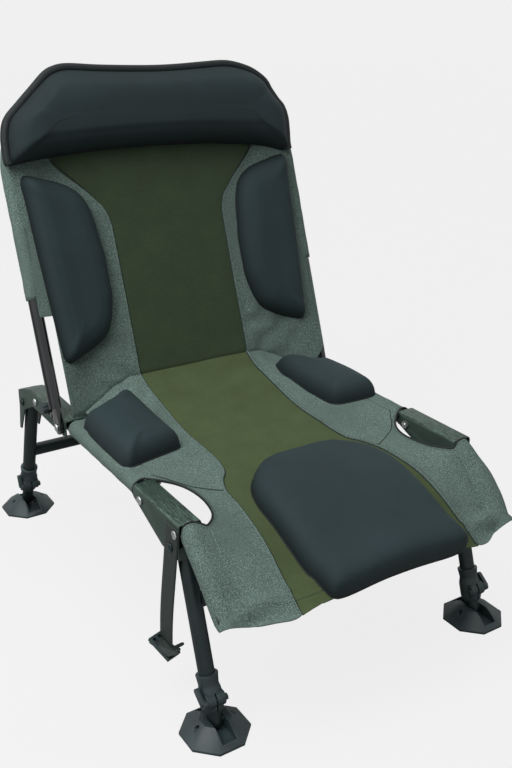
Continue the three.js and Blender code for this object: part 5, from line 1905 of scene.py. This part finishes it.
def thigh_raised(x, y, rise):
    """The same for the thigh pad, whose front comes down over the hem"""
    spot = seat_raised(x, max(y, THIGH_FOLD_Y), rise)
    past = min(y - THIGH_FOLD_Y, 0) * MM
    return spot + Vector((0, past, 0.9 * past))


def back_raised(x, along, rise):
    off, follow = bedded(rise)
    forward = back_forward(x, along) + back_folds(x, along) * follow + off
    return BACK @ (Vector((x, -forward, along)) * MM)


def head_raised(x, along, rise):
    """The same for the headrest, which is thinner towards its top and its ends"""
    thin = 1 - 0.42 * smoothstep(along, 530, 612) - 0.3 * smoothstep(abs(x), 215, 290)
    return back_raised(x, along, rise * thin)


def mirrored(corners, side):
    return [(side * x, y) for x, y in corners]


HIP_OUTLINE = {
    "left": (
        (164, 156), (190, 149), (228, 138), (250, 130), (259, 125), (263, 116), (265, 92), (267, 55),
        (268, 10), (268, -30), (267, -48), (260, -57), (250, -56), (225, -47), (190, -35), (165, -27),
        (153, -22), (147, -13), (146, 0), (147, 40), (149, 80), (152, 125), (155, 149),
    ),
    "right": (
        (162, 152), (190, 145), (228, 135), (250, 128), (260, 123), (266, 112), (271, 90), (274, 55),
        (273, 15), (269, -14), (263, -27), (254, -31), (235, -30), (210, -26), (190, -21), (178, -13),
        (172, 0), (168, 25), (162, 60), (156, 95), (152, 125), (154, 146),
    ),
}
BACK_PAD_OUTLINE = (
    (272, 430), (263, 436), (230, 429), (202, 421), (181, 410), (167, 397), (157, 378), (150, 350),
    (145, 309), (142, 286), (142, 243), (143, 211), (149, 184), (156, 163), (166, 147), (182, 134),
    (208, 121), (236, 110), (247, 107), (254, 111), (258, 124), (263, 200), (268, 300), (272, 394),
    (274, 420),
)
THIGH_OUTLINE = (
    (0, -134), (28, -134), (51, -136), (72, -142), (91, -156), (105, -171), (117, -190), (126, -213),
    (131, -238), (133, -273), (135, -309), (138, -348), (141, -380), (142, -396), (139, -403),
    (130, -405), (100, -407), (50, -409), (0, -410), (-50, -409), (-90, -407), (-108, -405),
    (-116, -402), (-120, -396), (-125, -378), (-131, -348), (-133, -309), (-132, -273), (-131, -238),
    (-126, -213), (-117, -190), (-105, -171), (-91, -156), (-72, -142), (-51, -136), (-28, -134),
)
THIGH_EDGE = (
    (0, 0.12), (0.3, 0.26), (1, 0.4), (2.4, 0.54), (4.6, 0.66), (7.6, 0.77), (11.4, 0.86), (16, 0.93),
    (21.5, 0.97), (28, 0.99),
)
HEADREST_OUTLINE = (
    (279, 444), (279, 458), (282, 480), (284, 505), (280, 526), (270, 541), (262, 556), (250, 578),
    (224, 598), (190, 610), (160, 614), (115, 612), (60, 609), (0, 608), (-93, 611), (-154, 615),
    (-180, 611), (-198, 602), (-222, 581), (-250, 556), (-278, 530), (-288, 505), (-291, 480),
    (-292, 462), (-290, 456), (-282, 455), (-222, 465), (-160, 470), (-91, 473), (0, 474), (91, 472),
    (160, 467), (222, 460), (268, 444),
)
HEADREST_BOUND = 25
HEADREST_EDGE = (
    (0, 0.1), (0.3, 0.2), (1, 0.31), (2.4, 0.43), (4.6, 0.55), (7.6, 0.66), (11.4, 0.76), (16, 0.85),
    (21, 0.91), (26, 0.95),
)


class CHAIR_OT_hip_pads(ChairPiece, Operator):
    """Makes the two hip pads and their piping"""

    bl_idname = "chair.hip_pads"
    bl_label = "Hip pads"

    def execute(self, context):
        for name, side in SIDES:
            outline = mirrored(HIP_OUTLINE[name], side)
            mesh = pad_mesh(outline, seat_raised, PAD_HEIGHT["hip"])
            made = pad(f"hip_cushion_{name}", mesh, "pad_knit", self.sizes)
            piping(f"hip_{name}", "seat", outline, seat_raised)
            finish_piece(made, "seat", [f"hip_pad_{name}"])
            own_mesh(made)
        return {"FINISHED"}


class CHAIR_OT_thigh_pad(ChairPiece, Operator):
    """Makes the big pad at the front of the seat"""

    bl_idname = "chair.thigh_pad"
    bl_label = "Thigh pad"

    def execute(self, context):
        mesh = pad_mesh(THIGH_OUTLINE, thigh_raised, PAD_HEIGHT["thigh"], THIGH_EDGE, count=240)
        made = pad("thigh_cushion", mesh, "pad_knit", self.sizes)
        piping("thigh", "seat", THIGH_OUTLINE, thigh_raised)
        finish_piece(made, "seat", ["thigh_pad"])
        return {"FINISHED"}


class CHAIR_OT_back_pads(ChairPiece, Operator):
    """Makes the two upright pads of the back"""

    bl_idname = "chair.back_pads"
    bl_label = "Back pads"

    def execute(self, context):
        for name, side in SIDES:
            outline = mirrored(BACK_PAD_OUTLINE, side)
            mesh = pad_mesh(outline, back_raised, PAD_HEIGHT["back"])
            made = pad(f"back_cushion_{name}", mesh, "pad_knit", self.sizes)
            piping(f"back_{name}", "backrest", outline, back_raised)
            finish_piece(made, "backrest", [f"back_pad_{name}"])
            back_spot(side * 256, 270)
            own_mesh(made)
        return {"FINISHED"}


class CHAIR_OT_headrest(ChairPiece, Operator):
    """Makes the headrest with the black binding along its top and sides"""

    bl_idname = "chair.headrest"
    bl_label = "Headrest"

    def execute(self, context):
        mesh = pad_mesh(HEADREST_OUTLINE, head_raised, PAD_HEIGHT["head"], HEADREST_EDGE, count=240)
        made = pad("head_cushion", mesh, "head_knit", self.sizes)
        finish_piece(made, "backrest", ["headrest"])
        self.binding()
        return {"FINISHED"}

    @staticmethod
    def binding():
        """A round band swept along the headrest's outer edge, standing for the binding folded over it"""
        spots = flat_spots(HEADREST_OUTLINE[:HEADREST_BOUND])
        dense = curve_through([spots[0]] + spots + [spots[-1]], 5) + [spots[-1]]
        path = [
            BACK @ (Vector((spot.x, -back_forward(spot.x, spot.y) - HEAD_BINDING_OUT, spot.y)) * MM)
            for spot in dense]
        mesh = threads((HEAD_BINDING_RADIUS, [path]), sides=16)
        cloth_piece("headrest_binding", mesh, "binding", "backrest")


# The strap, which hangs from the left front leg's pivot

STRAP_X = -283.1
STRAP_WIDTH = 38
STRAP_LENGTH = 217
STRAP_SLANT = 29
STRAP_TOP = 37
STRAP_SWAY = 3.5
STRAP_CUP = 0.14
STRAP_STEPS = 44
BUCKLE_SHIFT = Vector((10, 0, 5)) * MM
BUCKLE_TURN = math.radians(17)
TAIL_SCALE = (0.97, 0.97, 0.35)
LEVER_PLACES = (-2, 8, 18, 21, 22)
LEVER_RADII = (2.8 * MM, 2.8 * MM, 2.8 * MM, 2.2 * MM, 1.2 * MM)


class CHAIR_OT_strap(ChairPiece, Operator):
    """Makes the hanging strap, its rivet and its buckle"""

    bl_idname = "chair.strap"
    bl_label = "Strap"

    def execute(self, context):
        made = self.web()
        slider = softened("strap_buckle", BUCKLE_ROUND, 3)
        middle = sum((vert.co for vert in slider.verts), Vector()) / len(slider.verts)
        bmesh.ops.rotate(slider, verts=slider.verts, cent=middle, matrix=Matrix.Rotation(BUCKLE_TURN, 3, "Z"))
        bmesh.ops.translate(slider, verts=slider.verts, vec=BUCKLE_SHIFT)
        middle += BUCKLE_SHIFT
        self.tail(slider, middle)
        bar = [middle + Vector((reach, -6, 3 + 0.1 * reach)) * MM for reach in LEVER_PLACES]
        tube_piece("strap_lever", bar, LEVER_RADII, 14, "black_plastic", "seat")
        buckle = piece("strap_slider", slider, "black_plastic", "seat", ["strap_buckle"])
        piece("strap_stud", softened("strap_rivet", RIVET_ROUND, 3), "plain_steel", "seat", ["strap_rivet"])
        finish_piece(made, "seat", ["strap"])
        return {"FINISHED"}

    @staticmethod
    def web():
        """The webbing, slanted and swaying a little, with its edges curled"""
        mesh = bmesh.new()
        bmesh.ops.create_grid(mesh, x_segments=8, y_segments=STRAP_STEPS, size=1)
        for vert in mesh.verts:
            across, share = vert.co.x, (vert.co.y + 1) / 2
            rise = STRAP_TOP - STRAP_LENGTH * share
            slant = -STRAP_SLANT * rise / STRAP_LENGTH
            sway = STRAP_SWAY * math.sin(math.pi * share ** 2)
            vert.co = place(
                STRAP_X + STRAP_CUP * across * across,
                LEG_PIVOT_Y["front"] + slant + sway + across * STRAP_WIDTH / 2, LEG_PIVOT_HEIGHT + rise)
        bmesh.ops.recalc_face_normals(mesh, faces=list(mesh.faces))
        made = new_piece("strap_web", mesh, [finish("webbing")], CLOTH_SHARP)
        thickened(made, STRAP_THICKNESS, 0)
        keep_rest(made)
        return made

    @staticmethod
    def tail(slider, middle):
        """The strap's end inside the buckle: the buckle's hull, made flat and a little smaller"""
        mesh = bmesh.new()
        for vert in slider.verts:
            mesh.verts.new(vert.co)
        hull = bmesh.ops.convex_hull(mesh, input=mesh.verts)
        inner = of_kind(hull["geom_interior"], bmesh.types.BMVert)
        bmesh.ops.delete(mesh, geom=inner, context="VERTS")
        face = max(mesh.faces, key=lambda found: found.calc_area())
        turn = Matrix.Translation(middle) @ Z_AXIS.rotation_difference(face.normal).to_matrix().to_4x4()
        bmesh.ops.transform(
            mesh, verts=mesh.verts, matrix=turn @ Matrix.Diagonal((*TAIL_SCALE, 1)) @ turn.inverted())
        cloth_piece("strap_tail", mesh, "webbing", "seat")


# The studio

SUNS = (("key", 80, -60, 50, 1.35), ("fill", 25, -62, 60, 0.15))
WINDOW_PLACE = Vector((-1.3, -0.35, 1.75))
WINDOW_AIM = Vector((0.08, -0.05, 0.35))
WINDOW_SIZE = 1.1
WINDOW_POWER = 17
FLOOR_HALF = 14
FLOOR_TONE = 0.57
GLOW_TONE = 1.105
GLOW_SHARE = 0.86
DIM_SHARE = 0.1
CAMERA_AZIMUTH = math.radians(-33.3)
CAMERA_ELEVATION = math.radians(22.2)
CAMERA_ROLL = math.radians(0.8)
CAMERA_TARGET = Vector((20.6, 0, 381.1))
CAMERA_DISTANCE = 1641.7
SENSOR = 36
PICTURE_HEIGHT = 768
FOCAL_PIXELS = 938.6
SHIFT_PIXELS = -4.1


class CHAIR_OT_studio(ChairPiece, Operator):
    """Makes the floor, the lamps and the camera"""

    bl_idname = "chair.studio"
    bl_label = "Studio"

    def execute(self, context):
        scene = context.scene
        scene.view_settings.view_transform = "Standard"
        pale = tuple(scene.chair_colours.backdrop)
        self.world(scene, pale)
        mesh = bmesh.new()
        bmesh.ops.create_grid(mesh, x_segments=2, y_segments=2, size=FLOOR_HALF)
        floor = new_piece("studio_floor", mesh, [self.floor_finish(pale)])
        for name, elevation, azimuth, spread, strength in SUNS:
            lamp = bpy.data.lights.new(name, "SUN")
            lamp.angle = math.radians(spread)
            lamp.energy = strength
            holder = bpy.data.objects.new(name, lamp)
            holder.rotation_euler = (math.radians(90 - elevation), 0, math.radians(azimuth))
            scene.collection.objects.link(holder)
        lamp = bpy.data.lights.new("window", "AREA")
        lamp.shape = "DISK"
        lamp.size = WINDOW_SIZE
        lamp.energy = WINDOW_POWER
        self.aimed(scene, "window", lamp, WINDOW_PLACE, (WINDOW_AIM - WINDOW_PLACE).to_track_quat("-Z", "Y"))
        self.camera(scene)
        return {"FINISHED"}

    @staticmethod
    def aimed(scene, name, data, spot, turn):
        """An object for a lamp or camera, placed and turned"""
        holder = bpy.data.objects.new(name, data)
        holder.location = spot
        holder.rotation_mode = "QUATERNION"
        holder.rotation_quaternion = turn
        scene.collection.objects.link(holder)
        return holder

    @staticmethod
    def world(scene, pale):
        world = bpy.data.worlds.new("studio")
        scene.world = world
        world.use_nodes = True
        tree = world.node_tree
        back = tree.nodes["Background"]
        back.inputs["Color"].default_value = (*pale, 1)
        paths = tree.nodes.new("ShaderNodeLightPath")
        seen = tree.nodes.new("ShaderNodeMath")
        seen.operation = "MAXIMUM"
        tree.links.new(paths.outputs["Is Camera Ray"], seen.inputs[0])
        tree.links.new(paths.outputs["Is Glossy Ray"], seen.inputs[1])
        strength = tree.nodes.new("ShaderNodeMapRange")
        strength.inputs["To Min"].default_value = DIM_SHARE
        strength.inputs["To Max"].default_value = 1.0
        tree.links.new(seen.outputs[0], strength.inputs["Value"])
        tree.links.new(strength.outputs["Result"], back.inputs["Strength"])

    @staticmethod
    def floor_finish(pale):
        made = bpy.data.materials.new("studio_floor")
        made.use_nodes = True
        tree = made.node_tree
        shader = tree.nodes["Principled BSDF"]
        shader.inputs["Base Color"].default_value = (*scaled(pale, FLOOR_TONE), 1)
        shader.inputs["Roughness"].default_value = 0.9
        shader.inputs["Specular IOR Level"].default_value = 0.1
        glow = tree.nodes.new("ShaderNodeEmission")
        glow.inputs["Color"].default_value = (*scaled(pale, GLOW_TONE), 1)
        paths = tree.nodes.new("ShaderNodeLightPath")
        share = tree.nodes.new("ShaderNodeMath")
        share.operation = "MULTIPLY"
        share.inputs[1].default_value = GLOW_SHARE
        tree.links.new(paths.outputs["Is Camera Ray"], share.inputs[0])
        blend = tree.nodes.new("ShaderNodeMixShader")
        output = tree.nodes["Material Output"]
        tree.links.new(share.outputs[0], blend.inputs[0])
        tree.links.new(shader.outputs[0], blend.inputs[1])
        tree.links.new(glow.outputs[0], blend.inputs[2])
        tree.links.new(blend.outputs[0], output.inputs["Surface"])
        return made

    def camera(self, scene):
        """The photograph's camera: place in millimetres, lens and shift from pixels"""
        level = math.cos(CAMERA_ELEVATION)
        away = Vector((
            math.sin(CAMERA_AZIMUTH) * level, -math.cos(CAMERA_AZIMUTH) * level, math.sin(CAMERA_ELEVATION)))
        lens = bpy.data.cameras.new("photo_camera")
        lens.sensor_fit = "AUTO"
        lens.sensor_width = SENSOR
        lens.lens = FOCAL_PIXELS * SENSOR / PICTURE_HEIGHT
        lens.shift_x = SHIFT_PIXELS / PICTURE_HEIGHT
        lens.clip_end = 60
        roll = Matrix.Rotation(CAMERA_ROLL, 4, "Z").to_quaternion()
        look = (-away).to_track_quat("-Z", "Y") @ roll
        spot = place(*(CAMERA_TARGET + away * CAMERA_DISTANCE))
        scene.camera = self.aimed(scene, "photo_camera", lens, spot, look)


PIECES = (
    CHAIR_OT_studio, CHAIR_OT_seat_frame, CHAIR_OT_back_frame, CHAIR_OT_brackets,
    CHAIR_OT_bolts, CHAIR_OT_legs, CHAIR_OT_collars, CHAIR_OT_feet,
    CHAIR_OT_knobs, CHAIR_OT_seat_cover, CHAIR_OT_back_cover, CHAIR_OT_hip_pads,
    CHAIR_OT_thigh_pad, CHAIR_OT_back_pads, CHAIR_OT_headrest, CHAIR_OT_strap,
)


class CHAIR_PT_panel(Panel):
    """Lists the chair's pieces"""

    bl_idname = "CHAIR_PT_panel"
    bl_label = "Folding Carp Chair"
    bl_space_type = "VIEW_3D"
    bl_region_type = "UI"
    bl_category = "Chair"

    def draw(self, context):
        for group in (context.scene.chair_sizes, context.scene.chair_colours):
            for name in group.__annotations__:
                self.layout.prop(group, name)
        for made in PIECES:
            self.layout.operator(made.bl_idname)


CLASSES = (ChairSizes, ChairColours, *PIECES, CHAIR_PT_panel)


def register():
    for made in CLASSES:
        bpy.utils.register_class(made)
    bpy.types.Scene.chair_sizes = PointerProperty(type=ChairSizes)
    bpy.types.Scene.chair_colours = PointerProperty(type=ChairColours)


def unregister():
    del bpy.types.Scene.chair_colours
    del bpy.types.Scene.chair_sizes
    for made in reversed(CLASSES):
        bpy.utils.unregister_class(made)


def main():
    register()
    for made in PIECES:
        group, name = made.bl_idname.split(".")
        getattr(getattr(bpy.ops, group), name)()


if __name__ == "__main__":
    main()
